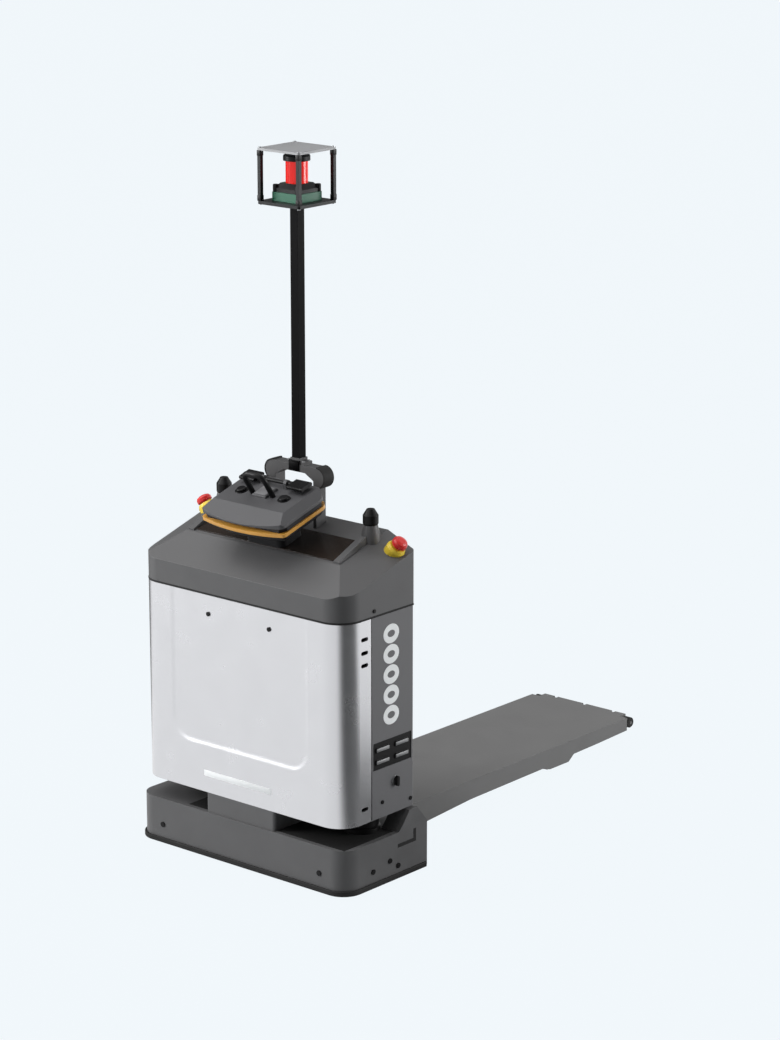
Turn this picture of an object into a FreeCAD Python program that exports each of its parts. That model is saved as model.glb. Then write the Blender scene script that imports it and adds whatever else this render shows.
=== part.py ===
import FreeCAD, Part
import math
import os
import Sketcher

V = FreeCAD.Vector

# Deck-carrying mobile robot. +Z up, front towards -Y, lift deck towards +Y, X across,
# origin on the floor under the middle of the whole machine. Millimetres and degrees.
SIZES = {
    # base with its skirt and bumper
    "base_width": 720, "base_front": -728, "base_depth": 316, "base_low": 14, "base_top": 131,
    "base_corner": 50, "skirt_wall": 5, "skirt_roof": 6, "bumper_low": 11, "bumper_high": 25,
    "bumper_reach": 6, "cheek_width": 58, "cheek_start": 205, "chassis_sheet": 8,
    # body over the scanner slot
    "body_width": 698, "body_setback": 4, "body_depth": 270, "body_low": 184, "cover_top": 713,
    "cover_corner": 65, "cover_wall": 6, "cover_return": 108, "recess_half": 236, "recess_low": 308,
    "recess_depth": 2.5, "recess_corner": 62, "neck_half": 118, "neck_depth": 236,
    "frame_sheet": 8, "rib_place": 200, "shelf_height": 390, "box_gap": 29, "battery_rise": 210,
    "controller_height": 250, "power_height": 190,
    # moulded cap
    "cap_wall": 4, "cap_brow": 63, "slope_run": 92, "slope_rise": 61, "shoulder_run": 88,
    "shoulder_rise": 38.6, "cap_tilt": 16.5, "cap_overhang": 5,
    # control head on its pedestal, square to the tilted cap top
    "console_sheet": 3, "head_lift": 79, "head_half": 140, "head_front": -48, "head_depth": 177,
    "head_bulge": 19, "lower_height": 17, "strip_height": 9, "band_height": 12, "shell_height": 28,
    "button_place": 72, "button_ahead": 43, "button_radius": 13, "button_travel": 4,
    "throttle_back": 96, "throttle_rise": 13, "throttle_radius": 5, "lug_place": 39,
    # emergency stops and aerials
    "stop_inset": 32, "stop_back": 234, "stop_head": 20, "stop_stem": 10, "stop_travel": 5,
    "aerial_inset": 99, "aerial_back": 221, "aerial_radius": 16, "aerial_top": 954,
    # mast and sensor cage
    "mast_back": 233, "mast_side": 25, "mast_wall": 2, "bridge_top": 1029, "bridge_half": 74,
    "bridge_depth": 36, "bridge_plate": 10, "bridge_bend": 25, "cage_low": 1692, "cage_side": 140,
    "cage_height": 140, "cage_plate": 8, "post_side": 10, "window_radius": 28,
    # lift deck and load wheels
    "deck_half": 171, "deck_top": 87, "deck_gap": 62, "deck_length": 1120, "deck_sheet": 5,
    "heel_sheet": 12, "heel_top": 400, "lift_travel": 80, "pivot_reach": 639, "pivot_height": 54,
    "shaft_radius": 8, "rocker_reach": 160, "load_radius": 38, "load_width": 56, "load_place": 95,
    "horn_reach": 20, "tip_radius": 15,
    # drive unit and casters
    "drive_back": 122, "drive_radius": 80, "drive_width": 60, "yoke_gap": 6, "gear_module": 3,
    "ring_teeth": 56, "pinion_teeth": 14, "gear_height": 12, "spigot_radius": 64,
    "caster_place": 270, "caster_back": 95, "caster_radius": 37.5, "caster_width": 30,
    "caster_trail": 32,
    # fits
    "running_fit": 0.06, "clearance": 0.4,
}


class Size:
    """A length or angle: its number, and the sheet expression that drives it."""

    def __init__(self, value, text):
        self.value = value
        self.text = text

    def __add__(self, other):
        return Size(self.value + number(other), f"({self.text} + {text(other)})")

    def __sub__(self, other):
        return Size(self.value - number(other), f"({self.text} - {text(other)})")

    def __mul__(self, other):
        return Size(self.value * number(other), f"({self.text} * {text(other)})")

    def __truediv__(self, other):
        return Size(self.value / number(other), f"({self.text} / {text(other)})")

    def __neg__(self):
        return Size(-self.value, f"(0 - {self.text})")

    def __radd__(self, other):
        return Size(number(other) + self.value, f"({text(other)} + {self.text})")

    def __rsub__(self, other):
        return Size(number(other) - self.value, f"({text(other)} - {self.text})")

    __rmul__ = __mul__


def number(item):
    return item.value if isinstance(item, Size) else float(item)


def text(item):
    return item.text if isinstance(item, Size) else f"({float(item):.9g})"


def sine(angle):
    return Size(math.sin(math.radians(number(angle))), f"sin({text(angle)})")


def cosine(angle):
    return Size(math.cos(math.radians(number(angle))), f"cos({text(angle)})")


def tangent(angle):
    return Size(math.tan(math.radians(number(angle))), f"tan({text(angle)})")


doc = FreeCAD.newDocument("mobile_robot")
sheet = doc.addObject("Spreadsheet::Sheet", "Sizes")
for row, (alias, amount) in enumerate(SIZES.items(), start=1):
    sheet.set(f"A{row}", alias)
    sheet.set(f"B{row}", str(amount))
    sheet.setAlias(f"B{row}", alias)
doc.recompute()

S = type("Sheet", (), {k: Size(float(v), f"Sizes.{k}") for k, v in SIZES.items()})
PIECES = {}


def bind(item, path, size):
    """Drives one property of item from the sheet, unless the size is a plain number."""
    if isinstance(size, Size):
        item.setExpression(path, size.text)


class Piece:
    """One physical piece: a PartDesign body whose features are bound to the sheet."""

    def __init__(self, label, keep=True):
        self.label = label
        self.count = 0
        self.body = doc.addObject("PartDesign::Body", label)
        self.body.Label = label
        if keep:
            PIECES[label] = self.body

    def feature(self, kind, purpose):
        self.count += 1
        made = self.body.newObject(kind, f"{self.label}_{self.count}")
        made.Label = f"{self.label} {purpose} {self.count}"
        return made

    def sketch(self, purpose, plane, at, loops):
        """Closed loops on an origin plane moved out by at; see loop() for their form."""
        drawn = self.feature("Sketcher::SketchObject", purpose + " sketch")
        wanted = [f for f in self.body.Origin.OriginFeatures if f.Role == plane + "_Plane"]
        drawn.AttachmentSupport = (wanted[0], [""])
        drawn.MapMode = "FlatFace"
        out = -at if plane == "XZ" else at
        drawn.AttachmentOffset = FreeCAD.Placement(V(0, 0, number(out)), FreeCAD.Rotation())
        bind(drawn, "AttachmentOffset.Base.z", out)
        for points in loops:
            loop(drawn, points)
        return drawn

    def add(self, purpose, plane, low, high, *loops):
        """Pads loops from low to high along the plane's axis."""
        drawn = self.sketch(purpose, plane, high if plane == "XZ" else low, loops)
        made = self.feature("PartDesign::Pad", purpose)
        made.Profile = drawn
        made.Length = number(high) - number(low)
        bind(made, "Length", Size(0, "0") + high - low)
        return self

    def cut(self, purpose, plane, low, high, *loops):
        """Pockets loops out of the body between low and high."""
        drawn = self.sketch(purpose, plane, low if plane == "XZ" else high, loops)
        before = self.volume()
        made = self.feature("PartDesign::Pocket", purpose)
        made.Profile = drawn
        made.Length = number(high) - number(low)
        bind(made, "Length", Size(0, "0") + high - low)
        if self.volume() > before - 1e-6:
            raise RuntimeError(f"{self.label}: {purpose} cuts nothing")
        return self

    def spin(self, purpose, *loops):
        """Revolves loops, drawn on the XZ plane as radius and height, about Z."""
        drawn = self.sketch(purpose, "XZ", 0, loops)
        made = self.feature("PartDesign::Revolution", purpose)
        made.Profile = drawn
        made.ReferenceAxis = (drawn, ["V_Axis"])
        made.Angle = 360
        return self

    def loft(self, purpose, *sections):
        """Ruled loft through XZ sections, each given as its place along Y and its corners."""
        drawn = [self.sketch(purpose, "XZ", at, [corners]) for at, corners in sections]
        made = self.feature("PartDesign::AdditiveLoft", purpose)
        made.Profile = drawn[0]
        made.Sections = drawn[1:]
        made.Ruled = True
        return self

    def soften(self, radius, wanted, kind="Fillet"):
        """Rounds or chamfers the tip's edges that wanted(edge) picks."""
        doc.recompute()
        tip = self.body.Tip
        names = [f"Edge{i}" for i, edge in enumerate(tip.Shape.Edges, start=1) if wanted(edge)]
        if not names:
            raise RuntimeError(f"{self.label}: no edge to soften")
        made = self.feature("PartDesign::" + kind, "edges")
        made.Base = (tip, names)
        path = "Radius" if kind == "Fillet" else "Size"
        setattr(made, path, number(radius))
        bind(made, path, radius)
        return self

    def volume(self):
        doc.recompute()
        return self.body.Shape.Volume

    def place(self, x, y, z, angle=None):
        """Moves the finished body, turned about X when an angle is given."""
        put(self.body, x, y, z, angle)
        return self


def put(item, x, y, z, angle=None):
    """Sets and binds the placement of item."""
    turn = FreeCAD.Rotation(V(1, 0, 0), number(angle)) if angle is not None else FreeCAD.Rotation()
    item.Placement = FreeCAD.Placement(V(number(x), number(y), number(z)), turn)
    for path, size in (("x", x), ("y", y), ("z", z)):
        bind(item, "Placement.Base." + path, size)
    if angle is not None:
        bind(item, "Placement.Rotation.Angle", angle)


def loop(sketch, points):
    """Adds one closed loop: ("circle", u, v, radius), or corners (u, v) in order, where a third
    item is the radius of the arc that leads, bulging outwards, to the next corner. Half
    circles, whose ends are level or upright, are held by their centre instead."""
    first = sketch.GeometryCount
    if points[0] == "circle":
        _, u, v, radius = points
        centre = V(number(u), number(v), 0)
        sketch.addGeometry(Part.Circle(centre, V(0, 0, 1), number(radius)), False)
        pin(sketch, first, 3, u, v)
        tie(sketch, Sketcher.Constraint("Radius", first, number(radius)), radius)
        return
    count = len(points)
    for i, corner in enumerate(points):
        start = V(number(corner[0]), number(corner[1]), 0)
        follow = points[(i + 1) % count]
        end = V(number(follow[0]), number(follow[1]), 0)
        if len(corner) == 3:
            sketch.addGeometry(arc_between(start, end, number(corner[2])), False)
        else:
            sketch.addGeometry(Part.LineSegment(start, end), False)
    for i in range(count):
        follow = first + (i + 1) % count
        sketch.addConstraint(Sketcher.Constraint("Coincident", first + i, 2, follow, 1))
    for i, corner in enumerate(points):
        pin(sketch, first + i, 1, corner[0], corner[1])
        if len(corner) == 3:
            follow = points[(i + 1) % count]
            along, up = (number(follow[k]) - number(corner[k]) for k in (0, 1))
            if abs(math.hypot(along, up) - 2 * number(corner[2])) > 1e-6:
                radius = Sketcher.Constraint("Radius", first + i, number(corner[2]))
                tie(sketch, radius, corner[2])
            elif abs(along) < abs(up):
                pin(sketch, first + i, 3, corner[0], None)
            else:
                pin(sketch, first + i, 3, None, corner[1])


def arc_between(start, end, radius):
    """Anticlockwise arc from start to end with its centre on the left of the chord."""
    chord = end - start
    left = V(-chord.y, chord.x, 0).normalize()
    reach = math.sqrt(max(radius * radius - chord.Length ** 2 / 4, 0.0))
    centre = start + chord * 0.5 + left * reach
    begin = math.atan2(start.y - centre.y, start.x - centre.x)
    finish = math.atan2(end.y - centre.y, end.x - centre.x)
    return Part.ArcOfCircle(Part.Circle(centre, V(0, 0, 1), radius), begin, finish)


def pin(sketch, index, point, u, v):
    """Fixes a point of the sketch by its distances from the sketch's axes."""
    for kind, axis, size in (("DistanceX", -2, u), ("DistanceY", -1, v)):
        if size is None:
            continue
        if abs(number(size)) < 1e-9:
            sketch.addConstraint(Sketcher.Constraint("PointOnObject", index, point, axis))
        else:
            rule = Sketcher.Constraint(kind, -1, 1, index, point, number(size))
            tie(sketch, rule, size)


def tie(sketch, rule, size):
    index = sketch.addConstraint(rule)
    bind(sketch, f"Constraints[{index}]", size)


def box(low_u, low_v, high_u, high_v):
    return [(low_u, low_v), (high_u, low_v), (high_u, high_v), (low_u, high_v)]


def front_round(half, front, back, radius):
    """Plan rectangle with its two front corners rounded."""
    return [(radius - half, front), (half - radius, front, radius), (half, front + radius),
            (half, back), (-half, back), (-half, front + radius, radius)]


def slot(low_u, low_v, high_u, high_v):
    """Slot with round ends along u."""
    end = (high_v - low_v) / 2
    return [(low_u + end, low_v), (high_u - end, low_v, end), (high_u - end, high_v),
            (low_u + end, high_v, end)]


def circle(u, v, radius):
    return ("circle", u, v, radius)


def mirrored(label, source, keep=True):
    """The same piece on the other side of the machine's middle plane."""
    made = doc.addObject("Part::Mirroring", label)
    made.Label = label
    made.Source = source
    made.Normal = V(1, 0, 0)
    if keep:
        PIECES[label] = made
    return made


def together(label, items):
    """One node made of several like solids."""
    made = doc.addObject("Part::Compound", label)
    made.Label = label
    made.Links = items
    PIECES[label] = made
    return made


def pair(label, piece):
    """A like solid on each side of the middle plane, in one node."""
    return together(label, [piece.body, mirrored(label + "_mirror", piece.body, keep=False)])


def boolean(kind, label, base, tool, keep=True):
    made = doc.addObject("Part::" + kind, label)
    made.Label = label
    made.Base = base
    made.Tool = tool
    if keep:
        PIECES[label] = made
    return made


def rod(label, radius, length, x, y, z, axis=V(0, 0, 1)):
    """Plain cylinder from a point along an axis."""
    made = doc.addObject("Part::Cylinder", label)
    made.Label = label
    made.Radius = number(radius)
    made.Height = number(length)
    bind(made, "Radius", radius)
    bind(made, "Height", length)
    base = V(number(x), number(y), number(z))
    made.Placement = FreeCAD.Placement(base, FreeCAD.Rotation(V(0, 0, 1), axis))
    for path, size in (("x", x), ("y", y), ("z", z)):
        bind(made, "Placement.Base." + path, size)
    return made


def upright(edge):
    a, b = edge.Vertexes[0].Point, edge.Vertexes[-1].Point
    return len(edge.Vertexes) == 2 and abs(a.x - b.x) < 1e-6 and abs(a.y - b.y) < 1e-6


def level(edge, height):
    return all(abs(v.Z - number(height)) < 1e-4 for v in edge.Vertexes)


def middle(edge):
    return edge.valueAt((edge.FirstParameter + edge.LastParameter) / 2)


HALF = S.base_width / 2
BODY_HALF = S.body_width / 2
BODY_FRONT = S.base_front + S.body_setback
BODY_REAR = BODY_FRONT + S.body_depth
TOP_HALF = BODY_HALF - S.shoulder_run
STOP_X = BODY_HALF - S.stop_inset
AERIAL_X = BODY_HALF - S.aerial_inset
DECK_START = BODY_REAR + S.deck_gap
DECK_END = DECK_START + S.deck_length
PIVOT_Y = DECK_START + S.pivot_reach
BASE_REAR = S.base_front + S.base_depth
BAY_HALF = S.deck_half + 14
CHASSIS_LOW = S.base_top - S.skirt_roof - S.chassis_sheet
DRIVE_Y = S.base_front + S.drive_back
MAST_Y = BODY_FRONT + S.mast_back
COVER_END = BODY_FRONT + S.cover_return


# ---------------------------------------------------------------- base
def build_base():
    wall = S.skirt_wall
    skirt = Piece("base_skirt")
    skirt.add("block", "XY", S.base_low, S.base_top,
              front_round(HALF, S.base_front, BASE_REAR, S.base_corner))
    # cheeks climb towards the body on both sides of the deck bay
    rise = S.body_low - S.base_top - 4
    start = S.base_front + S.cheek_start
    for side in (-1, 1):
        inner, outer = (HALF - S.cheek_width), HALF
        low, high = (inner, outer) if side > 0 else (-outer, -inner)
        skirt.add("cheek", "YZ", low, high, [
            (start, S.base_top - 1), (BASE_REAR, S.base_top - 1), (BASE_REAR, S.base_top + 4),
            (BODY_REAR + 4, S.base_top + rise), (start + 42, S.base_top + rise),
            (start + 16, S.base_top + 16), (start, S.base_top)])
    skirt.cut("deck bay", "XY", 0, 300, box(-BAY_HALF, BODY_REAR - 16, BAY_HALF, BASE_REAR + 10))
    inner = HALF - wall
    bend = S.base_corner - wall
    skirt.cut("inside", "XY", 0, S.base_top - S.skirt_roof, [
        (bend - inner, S.base_front + wall), (inner - bend, S.base_front + wall, bend),
        (inner, S.base_front + wall + bend),
        (inner, BASE_REAR - wall), (BAY_HALF + wall, BASE_REAR - wall),
        (BAY_HALF + wall, BODY_REAR - 16 - wall), (-BAY_HALF - wall, BODY_REAR - 16 - wall),
        (-BAY_HALF - wall, BASE_REAR - wall), (-inner, BASE_REAR - wall),
        (-inner, S.base_front + wall + bend, bend)])
    skirt.cut("drive opening", "XY", 0, 200, circle(0, DRIVE_Y, 106))
    posts = [(x, DRIVE_Y + y) for x in (-150, 150) for y in (62, 112)]
    for x, y in posts:
        skirt.cut("post hole", "XY", 0, 200, circle(x, y, 12 + S.clearance))
    # angular grip slots in both side faces
    for low, high in ((HALF - 3, HALF + 5), (-HALF - 5, -HALF + 3)):
        skirt.cut("grip slot", "YZ", low, high, [
            (start - 4, 91), (start + 67, 91), (start + 67, 126), (start + 57, 126),
            (start + 57, 101), (start - 4, 101)])

    bumper = Piece("bumper_strip")
    reach = S.bumper_reach
    bumper.add("block", "XY", S.bumper_low, S.bumper_high,
               front_round(HALF + reach, S.base_front - reach, BASE_REAR - 8,
                           S.base_corner + reach))
    bumper.cut("inside", "XY", S.bumper_low - 1, S.bumper_high + 1,
               front_round(HALF, S.base_front, BASE_REAR, S.base_corner))
    bumper.soften(2.5, lambda e: (level(e, S.bumper_low) or level(e, S.bumper_high))
                  and outside(e, reach))

    chassis = Piece("chassis_plate")
    edge = S.skirt_wall + 5
    bay = BAY_HALF + S.skirt_wall + 2
    low, high = CHASSIS_LOW, CHASSIS_LOW + S.chassis_sheet
    chassis.add("plate", "XY", low, high, [
        (-HALF + edge, S.base_front + edge + 40), (-HALF + edge + 40, S.base_front + edge),
        (HALF - edge - 40, S.base_front + edge), (HALF - edge, S.base_front + edge + 40),
        (HALF - edge, BASE_REAR - edge), (bay, BASE_REAR - edge), (bay, BODY_REAR - 24),
        (-bay, BODY_REAR - 24), (-bay, BASE_REAR - edge), (-HALF + edge, BASE_REAR - edge)],
        circle(0, DRIVE_Y, 104))

    for x, y in posts:
        chassis.add("post", "XY", high - 1, S.body_low + 2, circle(x, y, 12))
    cy = S.base_front + S.caster_back
    for side in (-1, 1):
        cx = S.caster_place * side
        chassis.add("caster plate", "XY", low - 5, low + 1, box(cx - 36, cy - 36, cx + 36, cy + 36))
        chassis.add("caster race", "XY", low - 12, low - 4, circle(cx, cy, 26))
        chassis.cut("caster bore", "XY", low - 13, low - 2, circle(cx, cy, 8 + S.running_fit))

    neck = Piece("neck_block")
    back = BODY_FRONT + S.neck_depth
    neck.add("block", "XY", S.base_top, S.body_low, box(-S.neck_half, BODY_FRONT, S.neck_half, back))
    neck.soften(8, upright)
    neck.add("seat", "XY", S.body_low - 1, S.body_low + 2,
             box(2 - S.neck_half, BODY_FRONT + S.cover_wall + 1, S.neck_half - 2, back - 2))
    neck.cut("drive opening", "XY", S.base_top - 1, S.body_low + 3, circle(0, DRIVE_Y, 106))


def outside(edge, reach):
    """Edges on the outer side of the bumper strip."""
    spot = middle(edge)
    past_side = abs(spot.x) > number(HALF) + number(reach) * 0.5
    past_front = spot.y < number(S.base_front) - number(reach) * 0.5
    at_corner = math.hypot(abs(spot.x) - number(HALF) + number(S.base_corner),
                           spot.y - number(S.base_front) - number(S.base_corner))
    turned = spot.y < number(S.base_front) + number(S.base_corner)
    rounded = turned and at_corner > number(S.base_corner) + number(reach) * 0.5
    return (past_side or past_front or rounded) and len(edge.Vertexes) == 2


# ---------------------------------------------------------------- body
def build_body():
    wall = S.cover_wall
    frame = Piece("body_frame")
    sheet_low = S.body_low + 2
    floor = sheet_low + S.frame_sheet
    inner = BODY_HALF - wall - 3
    front = BODY_FRONT + wall + 2
    back = BODY_REAR - wall - 2
    frame.add("floor", "XY", sheet_low, floor, [
        (-inner, front + 60), (-inner + 60, front), (inner - 60, front), (inner, front + 60),
        (inner, back), (-inner, back)])
    frame.add("slew ring", "XY", sheet_low - 9.5, sheet_low + 1, circle(0, DRIVE_Y, 95))
    frame.cut("spigot bore", "XY", sheet_low - 10, floor + 1,
              circle(0, DRIVE_Y, S.spigot_radius + S.running_fit))
    frame.add("back wall", "XZ", back - 6, back, box(-inner, floor - 1, inner, S.cover_top - 13))
    for low, high in ((S.rib_place, S.rib_place + 6), (-S.rib_place - 6, -S.rib_place)):
        frame.add("rib", "YZ", low, high,
                  [(front + 20, floor - 1), (back - 5, floor - 1), (back - 5, S.cover_top - 12),
                   (front + 60, S.cover_top - 12)])
    frame.add("battery shelf", "XY", S.shelf_height, S.shelf_height + S.frame_sheet,
              box(-S.rib_place - 1, front + 24, S.rib_place + 1, back - 5))
    frame.add("top shelf", "XY", S.cover_top - 13, S.cover_top - 5,
              box(-inner, front + 60, inner, back))

    cover = Piece("front_cover")
    cover.add("block", "XY", S.body_low, S.cover_top,
              front_round(BODY_HALF, BODY_FRONT, COVER_END, S.cover_corner))
    cover.cut("inside", "XY", S.body_low - 1, S.cover_top + 1,
              front_round(BODY_HALF - wall, BODY_FRONT + wall, COVER_END + 1,
                          S.cover_corner - wall))
    deep = BODY_FRONT + S.recess_depth
    cover.cut("recess", "XZ", BODY_FRONT - 5, deep,
              box(-S.recess_half, S.recess_low, S.recess_half, S.cover_top + 1))
    cover.soften(S.recess_corner, lambda e: abs(middle(e).z - number(S.recess_low)) < 0.01
                 and abs(abs(middle(e).x) - number(S.recess_half)) < 0.01)
    for place in (38, 110, 142, 177):
        height = S.body_low + place if place == 38 else S.body_low + 304 + place
        for low, high in ((BODY_HALF - wall - 1, BODY_HALF + 1),
                          (-BODY_HALF - 1, -BODY_HALF + wall + 1)):
            cover.cut("vent", "YZ", low, high,
                      slot(BODY_FRONT + 70, height - 5, BODY_FRONT + 96, height + 5))
    for x in (-104, 104):
        cover.cut("screw hole", "XZ", BODY_FRONT - 5, BODY_FRONT + wall + 1,
                  circle(x, S.cover_top - 51, 3.2))

    left = Piece("side_panel_left")
    left.add("sheet", "XY", S.body_low, S.cover_top,
             box(-BODY_HALF, COVER_END, -BODY_HALF + wall, BODY_REAR))
    left.soften(4, lambda e: upright(e) and middle(e).y > number(BODY_REAR) - 0.1
                and middle(e).x < -number(BODY_HALF) + 0.1)
    right = Piece("side_panel_right")
    right.add("sheet", "XY", S.body_low, S.cover_top,
              box(BODY_HALF - wall, COVER_END, BODY_HALF, BODY_REAR))
    right.soften(4, lambda e: upright(e) and middle(e).y > number(BODY_REAR) - 0.1
                 and middle(e).x > number(BODY_HALF) - 0.1)
    right.cut("contact window", "YZ", BODY_HALF - wall - 1, BODY_HALF + 1,
              box(COVER_END + 7, S.body_low + 129, BODY_REAR - 8, S.body_low + 201))
    right.cut("key hole", "YZ", BODY_HALF - wall - 1, BODY_HALF + 1,
              circle(COVER_END + 91, S.body_low + 85, 9 + S.clearance))

    rear = Piece("rear_cover")
    rear.add("sheet", "XZ", BODY_REAR - wall, BODY_REAR,
             box(-BODY_HALF + wall, S.body_low, BODY_HALF - wall, S.cover_top))
    for step in range(5):
        height = S.cover_top - 60 - 16 * step
        for low, high in ((-300, -200), (200, 300)):
            rear.cut("louvre", "XZ", BODY_REAR - wall - 1, BODY_REAR + 1,
                     slot(Size(low, f"({low})"), height - 3, Size(high, f"({high})"), height + 3))

    # charging contacts set in the right panel
    low, high = S.body_low + 129, S.body_low + 201
    near, far = COVER_END + 7, BODY_REAR - 8
    gap = S.clearance
    contacts = Piece("charge_contacts")
    contacts.add("flange", "YZ", BODY_HALF - wall - 2.5, BODY_HALF - wall,
                 box(near - 3, low - 5, far + 1.5, high + 5))
    contacts.add("block", "YZ", BODY_HALF - wall - 1, BODY_HALF - 1.5,
                 box(near + gap, low + gap, far - gap, high - gap))
    span = (far - near) / 2
    for side in range(2):
        for layer in range(2):
            start = near + 9 + span * side
            floor_z = low + 12 + 32 * layer
            contacts.add("bar", "YZ", BODY_HALF - 2.5, BODY_HALF + 1,
                     slot(start, floor_z, start + span - 18, floor_z + 15))

    # key switch below the contacts
    key_y, key_z = COVER_END + 91, S.body_low + 85
    bezel = Piece("key_bezel")
    bezel.add("barrel", "YZ", BODY_HALF - 12, BODY_HALF + 1, circle(key_y, key_z, 9))
    bezel.add("flange", "YZ", BODY_HALF, BODY_HALF + 3.5, circle(key_y, key_z, 13))
    bezel.cut("bore", "YZ", BODY_HALF - 13, BODY_HALF + 5,
              circle(key_y, key_z, 4 + S.running_fit))
    key = Piece("key_handle")
    key.add("stem", "YZ", BODY_HALF - 10, BODY_HALF + 5, circle(key_y, key_z, 4))
    key.add("grip", "YZ", BODY_HALF + 4, BODY_HALF + 12,
            [(key_y + 4.5, key_z - 9), (key_y + 4.5, key_z + 9, 4.5),
             (key_y - 4.5, key_z + 9), (key_y - 4.5, key_z - 9, 4.5)])

    # pieces inside
    battery = Piece("battery_pack")
    battery.add("case", "XY", S.shelf_height + S.frame_sheet, S.shelf_height + S.battery_rise,
                box(-S.rib_place + 18, front + 40, S.rib_place - 18, back - 20))
    battery.soften(8, upright)
    control = Piece("controller_box")
    control.add("case", "XY", floor + 40, floor + S.controller_height,
                box(-BODY_HALF + S.box_gap, front + 50, -S.rib_place - 6, back - 40))
    control.soften(5, upright)
    power = Piece("lift_power_unit")
    power.add("case", "XY", floor, floor + S.power_height,
              box(S.rib_place + 6, front + 60, BODY_HALF - S.box_gap - 2, back - 30))
    power.soften(20, upright)


# ---------------------------------------------------------------- cap
def cap_solid(label, inset):
    """The cap's outer form, or its inside when drawn in by the wall thickness."""
    slope = tangent(S.cap_tilt)
    front = BODY_FRONT + inset
    back = BODY_REAR + S.cap_overhang - inset
    length = BODY_REAR + S.cap_overhang - BODY_FRONT
    half = BODY_HALF - inset
    low = S.cover_top if inset is ZERO else S.cover_top - 1
    plan = Piece(label + "_plan", keep=False)
    plan.add("block", "XY", low, S.cover_top + 260,
             front_round(half, front, back, S.cover_corner - inset))
    plan.soften(8 - inset, lambda e: upright(e) and middle(e).y > number(back) - 0.1)
    shoulder = S.cover_top + S.cap_brow - 4 - inset * 1.1
    crown = S.cover_top + S.cap_brow + S.slope_rise - slope * S.slope_run - inset
    top_half = TOP_HALF - inset * 0.2
    rise = slope * length

    def section(lift):
        return [(-half, low), (half, low), (half, shoulder + lift), (top_half, crown + lift),
                (-top_half, crown + lift), (-half, shoulder + lift)]

    roof = Piece(label + "_roof", keep=False)
    end = BODY_REAR + S.cap_overhang
    roof.loft("roof", (BODY_FRONT, section(ZERO)), (end, section(rise)))
    brow = S.cover_top + S.cap_brow - inset * 1.2
    roof.cut("front slope", "YZ", -BODY_HALF - 50, BODY_HALF + 50, [
        (BODY_FRONT - 1, brow), (BODY_FRONT, brow),
        (BODY_FRONT + S.slope_run * 2, brow + S.slope_rise * 2),
        (BODY_FRONT + S.slope_run * 2, brow + S.slope_rise * 2 + 200),
        (BODY_FRONT - 1, brow + S.slope_rise * 2 + 200)])
    return boolean("Common", label, plan.body, roof.body, keep=False)


ZERO = Size(0.0, "0")
CROWN_Y = BODY_FRONT + S.slope_run
CROWN_Z = S.cover_top + S.cap_brow + S.slope_rise


def stop_seat():
    """Centre of the right emergency stop on the cap's shoulder, and the stop's axis, which
    leans outwards more than the shoulder does."""
    slope = tangent(S.cap_tilt)
    edge = S.cover_top + S.cap_brow - 4 + slope * S.stop_back
    top = S.cover_top + S.cap_brow + S.slope_rise - slope * S.slope_run
    drop = (top - S.cover_top - S.cap_brow + 4) / S.shoulder_run
    height = edge + (BODY_HALF - STOP_X) * drop
    return BODY_FRONT + S.stop_back, height, V(0.8, 0, 1).normalize()


def build_cap():
    outer = cap_solid("cap_outer", ZERO)
    inner = cap_solid("cap_inner", S.cap_wall)
    hollow = boolean("Cut", "cap_hollow", outer, inner, keep=False)
    y, z, lean = stop_seat()
    holes = []
    for side in (-1, 1):
        axis = V(side * lean.x, lean.y, lean.z)
        base = V(side * number(STOP_X), number(y), number(z)) - axis * 20
        drill = rod("stop_drill", S.stop_stem + 1, 60, base.x, base.y, base.z, axis)
        holes.append(drill)
        holes.append(rod("aerial_drill", S.aerial_radius, 200,
                         side * AERIAL_X, BODY_FRONT + S.aerial_back, S.cover_top + 60))
    for side in (-1, 1):
        legs = Piece(f"leg_slot_{side + 1}", keep=False)
        near = (S.bridge_half - S.bridge_plate) * side
        far = S.bridge_half * side
        low, high = (near, far) if side > 0 else (far, near)
        legs.add("slot", "XY", S.cover_top, S.cover_top + 300,
                 box(low - 1, MAST_Y - S.bridge_depth / 2 - 1,
                     high + 1, MAST_Y + S.bridge_depth / 2 + 1))
        holes.append(legs.body)
    drills = doc.addObject("Part::MultiFuse", "cap_drills")
    drills.Shapes = holes
    bored = boolean("Cut", "cap_bored", hollow, drills, keep=False)
    # rims climb along both sides of the console towards the aerials
    rim = Piece("rim_side", keep=False)
    rim.add("rail", "YZ", TOP_HALF - 23, TOP_HALF - 4, [(3, -1), (112, -1), (112, 20), (3, 6)])
    on_console(rim)
    shell = doc.addObject("Part::MultiFuse", "cap_shell")
    shell.Label = "cap_shell"
    shell.Shapes = [bored, rim.body, mirrored("rim_other", rim.body, keep=False)]
    PIECES["cap_shell"] = shell


# ---------------------------------------------------------------- control head
def on_console(piece, lift=0):
    """Stands a piece drawn level on the cap's tilted top, lift above it."""
    return piece.place(0, CROWN_Y - sine(S.cap_tilt) * lift, CROWN_Z + cosine(S.cap_tilt) * lift,
                       S.cap_tilt)


def head_outline(inset):
    """Plan of the head: straight sides and back, and a bowed front."""
    half = S.head_half - inset
    front = S.head_front + inset
    back = S.head_front + S.head_depth - inset
    bow = (half * half + S.head_bulge * S.head_bulge) / (S.head_bulge * 2)
    return [(-half, front, bow), (half, front), (half, back), (-half, back)]


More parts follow.
